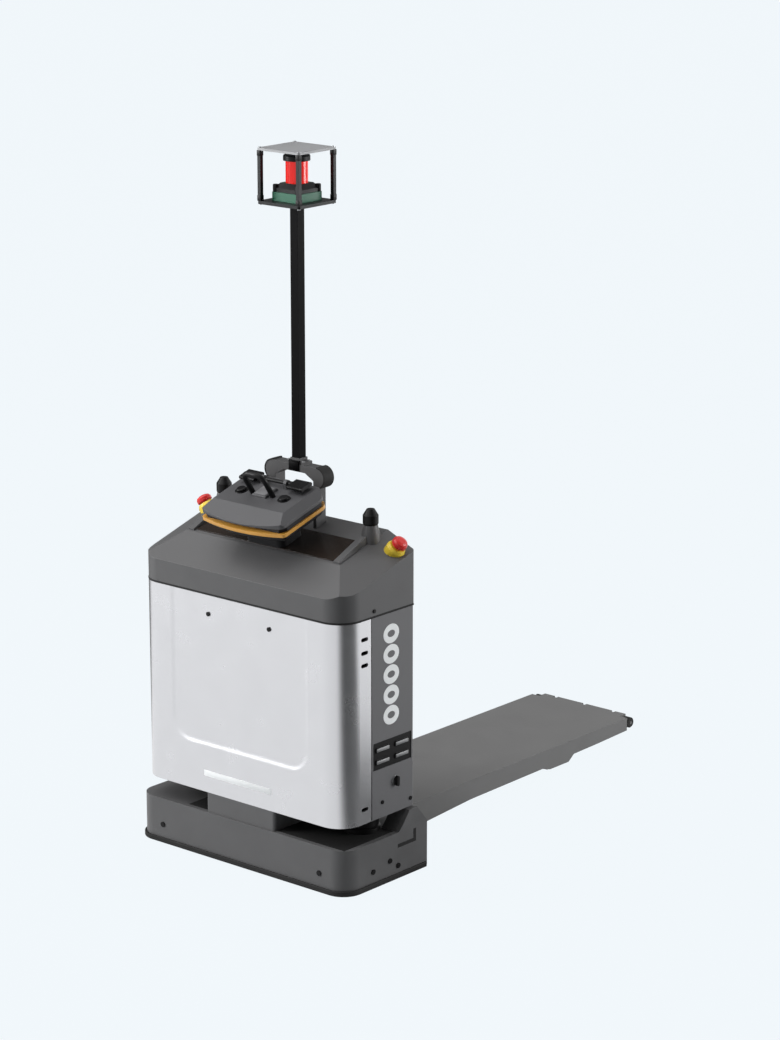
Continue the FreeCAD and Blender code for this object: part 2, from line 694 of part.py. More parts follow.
def build_head():
    panel = Piece("console_panel")
    panel.add("sheet", "XY", 0, S.console_sheet, box(27 - TOP_HALF, 9, TOP_HALF - 27, 112))
    panel.soften(6, upright)
    on_console(panel)

    top = S.head_lift
    def square(edge, back):
        spot = middle(edge)
        return upright(edge) and spot.y > number(back) - 0.5

    back = S.head_front + S.head_depth
    lower = Piece("head_lower")
    lower.add("shell", "XY", top - S.lower_height, top, head_outline(S.clearance * 15))
    lower.soften(24, lambda e: square(e, back - S.clearance * 15))
    lower.soften(14, lambda e: upright(e) and middle(e).y < number(S.head_front) + 10)
    lower.soften(8, lambda e: level(e, top - S.lower_height), "Chamfer")
    lower.add("column", "XY", S.console_sheet, top - S.lower_height + 1, box(-64, 8, 64, 92))
    lower.soften(18, lambda e: upright(e) and e.Length > 40)
    on_console(lower)

    strip = Piece("light_strip")
    strip.add("band", "XY", top, top + S.strip_height, head_outline(ZERO))
    strip.soften(30, lambda e: square(e, back))
    strip.soften(9, lambda e: upright(e) and middle(e).y < number(S.head_front) + 5)
    on_console(strip)

    band = top + S.strip_height
    low = band + S.band_height
    high = low + S.shell_height
    upper = Piece("head_upper_body", keep=False)
    upper.add("shell", "XY", low, high, head_outline(S.clearance * 5))
    upper.soften(28, lambda e: square(e, back - S.clearance * 5))
    upper.soften(14, lambda e: upright(e) and middle(e).y < number(S.head_front) + 5)
    # the shell leans in on its front and both sides
    front, half = S.head_front, S.head_half
    upper.cut("front slope", "YZ", -half - 5, half + 5, [
        (front - 40, low + 4), (front - S.head_bulge, low + 4), (front + 34, high),
        (front + 34, high + 5), (front - 40, high + 5)])
    for side in (-1, 1):
        upper.cut("side slope", "XZ", front - 40, back + 5, [
            ((half - 22) * side, high), ((half + 2) * side, low + 4),
            ((half + 2) * side, high + 5), ((half - 22) * side, high + 5)])
    upper.add("band", "XY", band, low + 1, [
        (-S.head_half + 18, S.head_front + 2), (S.head_half - 18, S.head_front + 2),
        (S.head_half - 5, S.head_front + 20), (S.head_half - 5, back - 24),
        (S.head_half - 28, back - 5), (28 - S.head_half, back - 5),
        (5 - S.head_half, back - 24), (5 - S.head_half, S.head_front + 20)])
    upper.add("pad", "XY", high - 1, high + 7, box(-23, 28, 23, 76))
    upper.soften(3, lambda e: level(e, high + 7))
    shaft_z = high + S.throttle_rise
    for side in (-1, 1):
        low_x = S.lug_place * side - 5
        upper.add("lug", "YZ", low_x, low_x + 10,
                  [(S.throttle_back - 11, high - 1), (S.throttle_back + 11, high - 1),
                   (S.throttle_back + 9, shaft_z, 9), (S.throttle_back - 9, shaft_z)])
        upper.cut("button well", "XY", high - 13, high + 1,
                  circle(S.button_place * side, S.button_ahead, S.button_radius + S.clearance))
    upper.cut("shaft bore", "YZ", -60, 60,
              circle(S.throttle_back, shaft_z, S.throttle_radius + S.running_fit))
    on_console(upper)

    hoop = Piece("hoop_body", keep=False)
    path = hoop.feature("Sketcher::SketchObject", "path")
    plane = [f for f in hoop.body.Origin.OriginFeatures if f.Role == "XZ_Plane"][0]
    path.AttachmentSupport = (plane, [""])
    path.MapMode = "FlatFace"
    wide, tall, bend = 34, 78, 24
    path.addGeometry(Part.LineSegment(V(-wide, 0, 0), V(-wide, tall - bend, 0)), False)
    path.addGeometry(Part.ArcOfCircle(Part.Circle(V(bend - wide, tall - bend, 0), V(0, 0, 1), bend),
                                      math.pi / 2, math.pi), False)
    path.addGeometry(Part.LineSegment(V(bend - wide, tall, 0), V(wide - bend, tall, 0)), False)
    path.addGeometry(Part.ArcOfCircle(Part.Circle(V(wide - bend, tall - bend, 0), V(0, 0, 1), bend),
                                      0, math.pi / 2), False)
    path.addGeometry(Part.LineSegment(V(wide, tall - bend, 0), V(wide, 0, 0)), False)
    ring = hoop.sketch("section", "XY", 0, [circle(-wide, 0, 7)])
    pipe = hoop.feature("PartDesign::AdditivePipe", "tube")
    pipe.Profile = ring
    pipe.Spine = (path, [])
    lean = S.cap_tilt + 17
    foot_y = CROWN_Y + cosine(S.cap_tilt) * 46 - sine(S.cap_tilt) * (high - 6)
    foot_z = CROWN_Z + sine(S.cap_tilt) * 46 + cosine(S.cap_tilt) * (high - 6)
    hoop.place(0, foot_y, foot_z, lean)
    boolean("Cut", "head_upper", upper.body, hoop.body)
    solid = doc.addObject("Part::Compound", "guard_hoop")
    solid.Label = "guard_hoop"
    solid.Links = [hoop.body]
    PIECES["guard_hoop"] = solid

    for label, side in (("horn_button", -1), ("lift_button", 1)):
        button = Piece(label)
        button.add("plunger", "XY", high - 13 + S.button_travel + S.clearance, high + 8,
                   circle(S.button_place * side, S.button_ahead, S.button_radius))
        button.soften(4, lambda e: level(e, high + 8))
        on_console(button)

    throttle = Piece("throttle_levers")
    throttle.add("shaft", "YZ", -106, 106, circle(S.throttle_back, shaft_z, S.throttle_radius))
    for low_x, high_x in ((-106, -56), (56, 106)):
        throttle.add("paddle", "YZ", low_x, high_x, [
            (S.throttle_back - 19, shaft_z - 4), (S.throttle_back + 19, shaft_z - 4, 5.5),
            (S.throttle_back + 19, shaft_z + 5), (S.throttle_back - 19, shaft_z + 5, 5.5)])
    on_console(throttle)


# ---------------------------------------------------------------- stops and aerials
def build_stops():
    y, z, axis = stop_seat()
    collar = Piece("stop_collar_body", keep=False)
    stem = S.stop_stem
    collar.spin("collar", [(stem + S.running_fit, -15), (25, -15), (25, 9), (21, 17),
                           (stem + S.running_fit, 17)])
    button = Piece("stop_button_body", keep=False)
    head = S.stop_head
    button.spin("mushroom", [(0, -28), (stem, -28), (stem, 23), (head, 23), (head, 31),
                             (head - 3, 36), (head - 10, 39), (0, 39)])
    seat = V(number(STOP_X), number(y), number(z))
    turn = FreeCAD.Rotation(V(0, 0, 1), axis)
    for piece in (collar, button):
        piece.body.Placement = FreeCAD.Placement(seat, turn)
        bind(piece.body, "Placement.Base.x", STOP_X)
        bind(piece.body, "Placement.Base.y", y)
        bind(piece.body, "Placement.Base.z", z)
    # the collars are cut to sit on the shoulders
    seated = boolean("Cut", "stop_collar_seated", collar.body, doc.getObject("cap_outer"), keep=False)
    together("stop_collars", [seated, mirrored("stop_collar_other", seated, keep=False)])
    together("stop_button_right", [button.body])
    mirrored("stop_button_left", button.body)

    radius = S.aerial_radius
    foot = CROWN_Z + tangent(S.cap_tilt) * (S.aerial_back - S.slope_run)
    base = Piece("aerial_base_body", keep=False)
    base.spin("base", [(0, foot - 22), (radius, foot - 22), (radius, foot + 20),
                       (radius - 3, foot + 34), (0, foot + 34)])
    dome = Piece("aerial_dome_body", keep=False)
    dome.spin("dome", [(0, foot + 34), (radius, foot + 34), (radius + 4, foot + 42),
                       (radius + 4, S.aerial_top - 16), (radius - 6, S.aerial_top),
                       (0, S.aerial_top)])
    for piece in (base, dome):
        piece.place(AERIAL_X, BODY_FRONT + S.aerial_back, 0)
    others = [mirrored(piece.label + "_other", piece.body, keep=False) for piece in (base, dome)]
    together("aerials", [base.body, dome.body] + others)


# ---------------------------------------------------------------- mast and sensor cage
def build_mast():
    half = S.bridge_half
    sheet_mm = S.bridge_plate
    bend = S.bridge_bend
    foot = S.cover_top - 5
    front, back = MAST_Y - S.bridge_depth / 2, MAST_Y + S.bridge_depth / 2
    high = S.bridge_top
    bridge = Piece("mast_bridge")
    # round shoulders stand out over the legs, and the crossbar thickens towards them
    inner = half - sheet_mm
    bridge.add("arch", "XZ", front, back, [
        (half, foot), (half, high - bend * 2, bend), (half, high), (-half, high, bend),
        (-half, high - bend * 2), (-half, foot), (-inner, foot), (-inner, high - 34),
        (28 - inner, high - 18), (inner - 28, high - 18), (inner, high - 34), (inner, foot)])

    side = S.mast_side
    bridge.add("flange", "XY", high - 1, high + 8, box(-31, front + 2, 31, back - 2))
    bridge.add("socket", "XY", high + 7, high + 16,
               box(side * -0.5 - 3, MAST_Y - side / 2 - 3, side / 2 + 3, MAST_Y + side / 2 + 3))
    bridge.cut("socket bore", "XY", high + 8, high + 40,
               box(side * -0.5, MAST_Y - side / 2, side / 2, MAST_Y + side / 2))
    tube = Piece("mast_tube")
    hole = side / 2 - S.mast_wall
    tube.add("tube", "XY", high + 8, S.cage_low,
             box(side * -0.5, MAST_Y - side / 2, side / 2, MAST_Y + side / 2),
             box(-hole, MAST_Y - hole, hole, MAST_Y + hole))
    screws = [rod("mast_screw", 4, 2, x, MAST_Y + y, high + 8) for x in (-24, 24) for y in (-10, 10)]

    reach = S.cage_side / 2
    low = S.cage_low
    top = low + S.cage_height
    base = Piece("sensor_cage")
    base.add("plate", "XY", low, low + S.cage_plate,
             box(-reach, MAST_Y - reach, reach, MAST_Y + reach))
    base.soften(6, upright)
    roof = Piece("cage_roof")
    roof.add("plate", "XY", top - 6, top, box(-reach, MAST_Y - reach, reach, MAST_Y + reach))
    roof.soften(6, upright)
    for x in (-1, 1):
        for y in (-1, 1):
            cx = (reach - S.post_side / 2 - 1) * x
            cy = MAST_Y + (reach - S.post_side / 2 - 1) * y
            grip = S.post_side / 2
            base.add("post", "XY", low + S.cage_plate - 1, top - 6,
                      box(cx - grip, cy - grip, cx + grip, cy + grip))
            screws.append(rod("cage_screw", 4, 2, cx, cy, top))
            screws.append(rod("cage_screw", 4, 2, cx, cy, low - 2))
    together("mast_screws", screws)

    seat = low + S.cage_plate
    lidar = Piece("lidar_base")
    lidar.add("block", "XY", seat, seat + 22, box(-45, MAST_Y - 45, 45, MAST_Y + 45))
    lidar.soften(5, upright)
    lidar.add("shoulder", "XY", seat + 21, seat + 44, box(-41, MAST_Y - 41, 41, MAST_Y + 41))
    lidar.soften(13, lambda e: level(e, seat + 44), "Chamfer")
    lidar.cut("spindle bore", "XY", seat + 34, seat + 50, circle(0, MAST_Y, 5 + S.running_fit))
    window = Piece("lidar_window")
    window.add("tube", "XY", seat + 44, seat + 100, circle(0, MAST_Y, S.window_radius),
               circle(0, MAST_Y, S.window_radius - 3))
    rotor = Piece("lidar_rotor")
    rotor.add("spindle", "XY", seat + 35, seat + 47, circle(0, MAST_Y, 5))
    rotor.add("drum", "XY", seat + 46, seat + 98, circle(0, MAST_Y, S.window_radius - 5))
    rotor.cut("mirror face", "XY", seat + 54, seat + 90,
              box(Size(-30, "(-30)"), MAST_Y - 40, Size(30, "30"), MAST_Y - 12))
    lid = Piece("lidar_cap")
    lid.add("disc", "XY", seat + 100, seat + 114, circle(0, MAST_Y, S.window_radius + 6))
    lid.soften(4, lambda e: level(e, seat + 114))

# ---------------------------------------------------------------- lift deck
def build_lift():
    rails = Piece("lift_rails")
    low, high = Size(30, "30"), S.heel_top + S.lift_travel + 14
    near, far = BODY_REAR, BODY_REAR + 42
    web = S.deck_half - 5
    for side in (-1, 1):
        a, b = (web - 6) * side, web * side
        c = (web - 28) * side
        low_x, high_x = (a, b) if side > 0 else (b, a)
        rails.add("web", "XY", low, high, box(low_x, near, high_x, far))
        low_x, high_x = (c, a + 1) if side > 0 else (a - 1, c)
        rails.add("flange", "XY", low, high, box(low_x, near, high_x, near + 6))
        rails.add("flange", "XY", low, high, box(low_x, far - 6, high_x, far))
    rails.add("foot", "XY", low, low + 8, box(-web + 1, near, web - 1, far))
    rails.add("tie", "XY", high - 8, high, box(-web + 1, near, web - 1, far))

    face = DECK_START - S.heel_sheet
    carriage = Piece("lift_carriage")
    carriage.add("heel", "XZ", face, DECK_START,
                 box(-S.deck_half, S.deck_top - 57, S.deck_half, S.heel_top))
    arm_in, arm_out = web - 44, web - 32
    for side in (-1, 1):
        low_x, high_x = (arm_in, arm_out) if side > 0 else (-arm_out, -arm_in)
        for base in (70, 330):
            carriage.add("arm", "XY", Size(base, str(base)), Size(base + 50, str(base + 50)),
                         box(low_x, near + 9, high_x, face + 1))
    carriage.add("lug", "XY", S.heel_top - 14, S.heel_top, box(-30, near + 6, 30, face + 1))

    pads = []
    for side in (-1, 1):
        for base in (70, 330):
            pad = Piece(f"pad_{side + 1}_{base}", keep=False)
            a, b = (web - 32, web - 6.5) if side > 0 else (-web + 6.5, -web + 32)
            pad.add("pad", "XY", Size(base, str(base)), Size(base + 50, str(base + 50)),
                    box(a, near + 6.5, b, far - 6.5))
            pads.append(pad.body)
    together("slide_pads", pads)

    middle_y = BODY_REAR + 22
    barrel = Piece("lift_cylinder")
    barrel.add("barrel", "XY", low + 8, S.heel_top - 84, circle(0, middle_y, 19))
    barrel.cut("bore", "XY", low + 20, S.heel_top - 80, circle(0, middle_y, 9 + S.running_fit))
    piston = Piece("lift_rod")
    piston.add("rod", "XY", low + 24, S.heel_top - 14, circle(0, middle_y, 9))

    build_deck()
    build_rocker()


def build_deck():
    half, top, wall = S.deck_half, S.deck_top, S.deck_sheet
    start, end = DECK_START, DECK_END
    deck = Piece("deck_shell")
    deck.add("block", "XY", top - 67, top, box(-half, start, half, end))
    deck.cut("inside", "XY", top - 68, top - wall,
             box(-half + wall, start - 1, half - wall, end - wall))
    wheel = PIVOT_Y + S.rocker_reach
    deck.cut("skirt edge", "YZ", -half - 50, half + 50, [
        (start - 1, top - 70), (end + 1, top - 70), (end + 1, top - 24), (end - 25, top - 37),
        (end - 160, top - 41), (wheel + 46, top - 43), (wheel + 22, top - 60),
        (wheel - 62, top - 60), (wheel - 96, top - 50), (start + 390, top - 53),
        (start + 180, top - 66), (start - 1, top - 66)])
    for side in (-1, 1):
        a, b = half - 26, half + 1
        low_x, high_x = (a, b) if side > 0 else (-b, -a)
        deck.cut("tip corner", "XY", 0, top + 1, box(low_x, end - 28, high_x, end + 1))
        a, b = half - 34, half - 26
        low_x, high_x = (a, b) if side > 0 else (-b, -a)
        deck.add("tip tab", "YZ", low_x, high_x,
                 [(end - 40, top - 32), (end - 1, top - 32), (end - 1, top - 2), (end - 40, top - 2)])
    for x in (-103, 0, 103):
        deck.cut("tip notch", "XY", 0, top + 1, box(x - 6, end - 10, x + 6, end + 1))

    for side in (-1, 1):
        low_x = 43 * side - 3
        for a, b, low in ((start, PIVOT_Y - 26, top - 37), (wheel + 50, end - 12, top - 27)):
            deck.add("rib", "YZ", low_x, low_x + 6, box(a, low, b, top - wall + 1))
        low_x, high_x = (half - 27, half) if side > 0 else (-half, -half + 27)
        deck.add("tip pin", "YZ", low_x, high_x, circle(end - 9, top - 19, 4))
    deck.add("rocker shaft", "YZ", wall - half - 1, half - wall + 1,
             circle(PIVOT_Y, S.pivot_height, S.shaft_radius))

    for label, side in (("tip_roller_left", -1), ("tip_roller_right", 1)):
        a, b = half - 25, half - 1
        low_x, high_x = (a, b) if side > 0 else (-b, -a)
        roller = Piece(label)
        roller.add("tyre", "YZ", low_x, high_x, circle(end - 9, top - 19, S.tip_radius),
                   circle(end - 9, top - 19, 4 + S.running_fit))
        roller.soften(2, lambda e: len(e.Vertexes) == 1 and e.Curve.Radius > 10, "Chamfer")


def build_rocker():
    py, pz = PIVOT_Y, S.pivot_height
    drop = pz - S.load_radius
    # the arms lie at the angle that rests the load wheels on the floor with the deck down
    rest = math.asin(number(drop) / number(S.rocker_reach))
    flat = Size(math.sqrt(number(S.rocker_reach) ** 2 - number(drop) ** 2),
                f"sqrt({S.rocker_reach.text}^2 - {drop.text}^2)")
    wy, wz = py + flat, S.load_radius
    rocker = Piece("rocker_frame")
    rocker.add("hub", "YZ", -150, 150, circle(py, pz, S.shaft_radius + 6))
    inner = S.load_place - S.load_width / 2 - 7
    outer = S.load_place + S.load_width / 2 + 1
    for side in (-1, 1):
        for a in (inner, outer):
            low_x, high_x = (a, a + 6) if side > 0 else (-a - 6, -a)
            rocker.add("arm", "YZ", low_x, high_x, [
                (py - 2, pz - 12), (wy, wz - 12, 12), (wy, wz + 12), (py, pz + 12)])
        low_x, high_x = (inner + 3, outer + 3) if side > 0 else (-outer - 3, -inner - 3)
        rocker.add("axle", "YZ", low_x, high_x, circle(wy, wz, 8))
    travel = math.degrees(math.asin((number(drop) + number(S.lift_travel)) / number(S.rocker_reach))
                          - rest)
    lean = math.radians(travel / 2)
    hy = py - S.horn_reach * math.sin(lean)
    hz = pz + S.horn_reach * math.cos(lean)
    for low_x, high_x in ((-13, -8), (8, 13)):
        rocker.add("horn", "YZ", low_x, high_x, [
            (py - 9, pz + 8), (py + 9, pz + 8), (hy + 5, hz), (hy + 4, hz + 4),
            (hy - 4, hz + 4), (hy - 5, hz)])
    rocker.add("horn pin", "YZ", -12, 12, circle(hy, hz, 3.5))
    rocker.cut("bore", "YZ", -160, 160, circle(py, pz, S.shaft_radius + S.running_fit))

    for label, side in (("load_wheel_left", -1), ("load_wheel_right", 1)):
        wheel = Piece(label)
        a, b = S.load_place - S.load_width / 2, S.load_place + S.load_width / 2
        low_x, high_x = (a, b) if side > 0 else (-b, -a)
        wheel.add("roller", "YZ", low_x, high_x, circle(wy, wz, S.load_radius),
                  circle(wy, wz, 8 + S.running_fit))
        wheel.soften(3, lambda e: len(e.Vertexes) == 1 and e.Curve.Radius > 20, "Chamfer")

    push = Piece("push_rod")
    roof = S.deck_top - S.deck_sheet
    push.add("bar", "YZ", -5, 5, box(DECK_START + 14, roof - 11, hy - 8, roof - 3))
    push.add("fork", "YZ", -5, 5, box(hy - 9, roof - 13, hy + 9, roof - 1))
    push.cut("slot", "YZ", -6, 6, box(hy - 3.5 - S.clearance, roof - 14,
                                      hy + 3.5 + S.clearance, hz + 4.5))
    return travel


# ---------------------------------------------------------------- drive unit and casters
def gear(label, teeth, x, y, low, height, phase):
    """Spur gear with straight-flanked teeth, cut a little thin so that the pair runs free."""
    module = number(S.gear_module)
    pitch = module * teeth / 2
    step = 2 * math.pi / teeth
    wide = [(-0.30, -1.25), (-0.30, -1.25), (-0.225, 0.0), (-0.12, 0.92), (0.12, 0.92),
            (0.225, 0.0), (0.30, -1.25)]
    corners = []
    for i in range(teeth):
        for share, out in wide[1:]:
            angle = phase + (i + share) * step
            radius = pitch + out * module
            corners.append(V(radius * math.cos(angle), radius * math.sin(angle), 0))
    face = Part.Face(Part.makePolygon(corners + corners[:1]))
    made = doc.addObject("Part::Feature", label)
    made.Label = label
    made.Shape = face.extrude(V(0, 0, number(height)))
    made.Placement = FreeCAD.Placement(V(number(x), number(y), number(low)), FreeCAD.Rotation())
    return made


def build_drive():
    cy = DRIVE_Y
    radius = S.drive_radius
    half = S.drive_width / 2
    sheet_low = S.body_low + 2
    floor = sheet_low + S.frame_sheet
    yoke = Piece("yoke_body", keep=False)
    crown = sheet_low - 10
    yoke.add("crown", "XY", crown - 10, crown, circle(0, cy, 98))
    yoke.add("spigot", "XY", crown - 1, floor + 6, circle(0, cy, S.spigot_radius))
    plate = half + S.yoke_gap
    for side in (-1, 1):
        low_x, high_x = (plate, plate + 8) if side > 0 else (-plate - 8, -plate)
        yoke.add("leg", "YZ", low_x, high_x, [
            (cy + 42, crown - 9), (cy - 42, crown - 9), (cy - 22, radius - 14),
            (cy + 22, radius - 14)])
    yoke.cut("axle bore", "YZ", -60, 60, circle(cy, radius, 10 + S.running_fit))

    wheel = Piece("drive_wheel")
    wheel.add("tread", "YZ", -half, half, circle(cy, radius, radius))
    wheel.soften(4, lambda e: len(e.Vertexes) == 1, "Chamfer")
    for low, high in ((-half - 1, -half + 8), (half - 8, half + 1)):
        wheel.cut("dish", "YZ", low, high, circle(cy, radius, radius - 18))
    wheel.add("axle", "YZ", -plate - 10, plate + 10, circle(cy, radius, 10))

    top = floor + 6
    teeth = gear("ring_teeth", int(number(S.ring_teeth)), 0, cy, top, S.gear_height, 0.0)
    boolean("Fuse", "drive_yoke", yoke.body, teeth)
    motor = Piece("drive_motor")
    motor.add("case", "XY", top + S.gear_height, top + S.gear_height + 150, circle(0, cy, 50))
    motor.soften(8, lambda e: level(e, top + S.gear_height + 150))

    spread = S.gear_module * (S.ring_teeth + S.pinion_teeth) / 2 + 0.15
    teeth = int(number(S.pinion_teeth))
    # a gap of the pinion faces the ring's first tooth
    phase = math.pi + math.pi / teeth
    small = gear("pinion_teeth", teeth, spread, cy, top, S.gear_height, phase)
    stem = rod("pinion_stem", 6, 10, spread, cy, top + S.gear_height)
    boolean("Fuse", "steer_pinion", small, stem)
    servo = Piece("steer_motor")
    low = top + S.gear_height + 10.5
    servo.add("case", "XY", low, low + 90, circle(spread, cy, 34))
    servo.add("bracket", "XY", low, low + 6, box(spread - 20, cy - 34, spread + 80, cy + 34))
    servo.add("leg", "YZ", spread + 74, spread + 80, box(cy - 34, floor, cy + 34, low + 1))


def build_casters():
    radius, half = S.caster_radius, S.caster_width / 2
    cy = S.base_front + S.caster_back
    top = CHASSIS_LOW
    for label, side in (("left", -1), ("right", 1)):
        cx = S.caster_place * side
        wheel_y = cy - S.caster_trail
        fork = Piece(f"caster_fork_{label}")
        fork.add("crown", "XY", top - 18, top - 12.5, circle(cx, cy, 28))
        fork.add("stem", "XY", top - 13, top - 4, circle(cx, cy, 8))
        fork.add("bridge", "XY", top - 20, top - 15,
                 box(cx - half - 8, wheel_y - 8, cx + half + 8, cy + 20))
        for a in (half + 3, -half - 8):
            fork.add("leg", "YZ", cx + a, cx + a + 5, [
                (cy + 20, top - 16), (wheel_y - 8, top - 16), (wheel_y - 12, radius + 4),
                (wheel_y - 8, radius - 9), (wheel_y + 8, radius - 9)])
        fork.cut("axle bore", "YZ", cx - 60, cx + 60,
                 circle(wheel_y, radius, 5 + S.running_fit))
        wheel = Piece(f"caster_wheel_{label}")
        wheel.add("tread", "YZ", cx - half, cx + half, circle(wheel_y, radius, radius))
        wheel.soften(5, lambda e: len(e.Vertexes) == 1, "Chamfer")
        wheel.add("axle", "YZ", cx - half - 8, cx + half + 8, circle(wheel_y, radius, 5))


# ---------------------------------------------------------------- scanners and fasteners
def build_scanners():
    x, y = S.caster_place, BODY_FRONT + 161
    low, high = S.base_top, S.body_low - 3
    body = Piece("scanner_body", keep=False)
    body.spin("case", [(0, low), (48, low), (48, low + 12), (41, low + 16), (41, high - 17),
                       (47, high - 13), (47, high), (0, high)])
    glass = Piece("scanner_glass", keep=False)
    glass.spin("window", [(41.3, low + 16), (44, low + 16), (44, high - 17), (41.3, high - 17)])
    for piece in (body, glass):
        piece.place(x, y, 0)
    others = [mirrored(piece.label + "_other", piece.body, keep=False) for piece in (body, glass)]
    together("scanners", [body.body, glass.body] + others)


def screw(label, x, y, z, axis, radius=5):
    return rod(label, radius, 2.5, x, y, z, axis)


def build_fasteners():
    screws = []
    for x in (-104, 104):
        screws.append(screw("cover_screw", x, BODY_FRONT + S.recess_depth, S.cover_top - 51,
                            V(0, -1, 0), 6))
    for side in (-1, 1):
        face = BODY_HALF if side > 0 else -BODY_HALF
        out = V(side, 0, 0)
        screws.append(screw("panel_screw", face, COVER_END + 41, S.body_low + 40, out))
        screws.append(screw("panel_screw", face, COVER_END + 150, S.body_low + 22, out))
        screws.append(screw("cap_screw", face, COVER_END + 11, S.cover_top + 17, out))
    for x in (-290, 290):
        for z in (S.body_low + 30, S.cover_top - 30):
            screws.append(screw("rear_screw", x, BODY_REAR, z, V(0, 1, 0)))
    for x in (-272, 272):
        screws.append(screw("skirt_screw", x, S.base_front, 60, V(0, -1, 0), 7))
    for side in (-1, 1):
        face = HALF if side > 0 else -HALF
        for y, z in ((105, 54), (170, 65), (202, 44)):
            screws.append(screw("skirt_screw", face, S.base_front + y, z, V(side, 0, 0), 7))
    together("cover_screws", screws)


def main():
    build_base()
    build_body()
    build_cap()
    build_head()
    build_stops()
    build_mast()
    build_lift()
    build_drive()
    build_casters()
    build_scanners()
    build_fasteners()
    doc.recompute()
    faults = []
    for item in doc.Objects:
        if "Invalid" in item.State or "Error" in item.State:
            faults.append(f"{item.Name} is {item.State}")
    for label, item in PIECES.items():
        shape = item.Shape
        if shape.isNull() or not shape.isValid() or not shape.Solids:
            faults.append(f"{label} has no valid solid")
    if faults:
        raise RuntimeError("; ".join(faults))
    os.makedirs("parts", exist_ok=True)
    for label, item in PIECES.items():
        item.Shape.exportStep(f"parts/{label}.step")
        limits = item.Shape.BoundBox
        print(f"{label:20s} {len(item.Shape.Solids)} solids {item.Shape.Volume / 1000:9.1f} cm3 "
              f"x {limits.XMin:7.1f} {limits.XMax:7.1f} y {limits.YMin:7.1f} {limits.YMax:7.1f} "
              f"z {limits.ZMin:7.1f} {limits.ZMax:7.1f}")
    print(len(PIECES), "pieces")


main()
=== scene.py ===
"""Looks of a low-lift deck robot: finishes, fine detail pieces, camera and light."""

import logging
import math
from collections.abc import Iterable, Sequence
from dataclasses import dataclass
from enum import Enum

import bmesh
import bpy
from mathutils import Matrix, Vector


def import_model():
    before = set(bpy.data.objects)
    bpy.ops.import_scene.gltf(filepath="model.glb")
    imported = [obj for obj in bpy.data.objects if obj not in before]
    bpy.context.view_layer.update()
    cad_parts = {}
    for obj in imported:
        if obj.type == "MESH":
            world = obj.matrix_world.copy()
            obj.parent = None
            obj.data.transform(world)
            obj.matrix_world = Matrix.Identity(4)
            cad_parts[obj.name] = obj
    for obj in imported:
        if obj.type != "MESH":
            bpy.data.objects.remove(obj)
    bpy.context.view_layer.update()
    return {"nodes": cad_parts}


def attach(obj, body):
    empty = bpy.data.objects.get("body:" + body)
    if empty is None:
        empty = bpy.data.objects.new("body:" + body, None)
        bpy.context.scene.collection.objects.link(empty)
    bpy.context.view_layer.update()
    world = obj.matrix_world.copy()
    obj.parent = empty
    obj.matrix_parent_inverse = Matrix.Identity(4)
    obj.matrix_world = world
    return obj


LOG = logging.getLogger("deck_robot")
MM = 0.001
CHASSIS = "chassis"
# faces that meet at less than this angle are shaded as one curve
SHARP = math.radians(32.0)

RIGHT = Vector((1.0, 0.0, 0.0))
BACK = Vector((0.0, 1.0, 0.0))
UP = Vector((0.0, 0.0, 1.0))
SIDES = (-1, 1)

# the control console's own frame: where it starts on the machine, and how it leans back
CONSOLE_TILT = math.radians(16.5)
CONSOLE_ORIGIN = Vector((0.0, -0.632, 0.837))
CONSOLE_NORMAL = Vector((0.0, -math.sin(CONSOLE_TILT), math.cos(CONSOLE_TILT)))

# colour sockets of the Mix node
MIX_A, MIX_B, MIX_RESULT = 6, 7, 2
# the part of a noise pattern's values that most of a surface shows
NOISE_LOW, NOISE_HIGH = 0.3, 0.7
# how far the rounded and the flat normal agree where an edge starts to wear, and is worn most
WEAR_START, WEAR_FULL = 0.995, 0.86
EDGE_SAMPLES = 4

Colour = tuple[float, float, float, float]
Triple = tuple[float, float, float]
Section = Sequence[tuple[float, float]]
PathPoint = tuple[Vector, Vector]


class Slot(str, Enum):
    """Material slots of the record that the detail pieces belong to."""

    BLACK_PLASTIC = "black_plastic"
    BLACK_RUBBER = "black_rubber"
    BLACK_STEEL = "black_steel"
    CAP_GREY = "cap_grey"
    HEAD_GREY = "head_grey"
    MAST_BLACK = "mast_black"
    NYLON = "nylon"
    SCREW_STEEL = "screw_steel"
    SILVER_COVER = "silver_cover"


def linear(colour: str) -> Colour:
    """Turns an sRGB hex colour to linear light.

    Args:
        colour: six hex digits with a leading hash.

    Returns:
        Red, green and blue in linear light, and full opacity.
    """
    parts = [int(colour[i:i + 2], 16) / 255 for i in (1, 3, 5)]
    red, green, blue = (p / 12.92 if p <= 0.04045 else ((p + 0.055) / 1.055) ** 2.4 for p in parts)
    return (red, green, blue, 1.0)


def add_node(tree: bpy.types.NodeTree, kind: str, settings: dict | None = None,
             inputs: dict | None = None) -> bpy.types.Node:
    """Adds one shader node.

    Args:
        tree: node tree that receives it.
        kind: node class name without its ShaderNode prefix.
        settings: attributes of the node.
        inputs: socket name or number to a value, or to an output socket to link.

    Returns:
        The new node.
    """
    node = tree.nodes.new("ShaderNode" + kind)
    for name, value in (settings or {}).items():
        setattr(node, name, value)
    for name, value in (inputs or {}).items():
        if isinstance(value, bpy.types.NodeSocket):
            tree.links.new(value, node.inputs[name])
        else:
            node.inputs[name].default_value = value
    return node


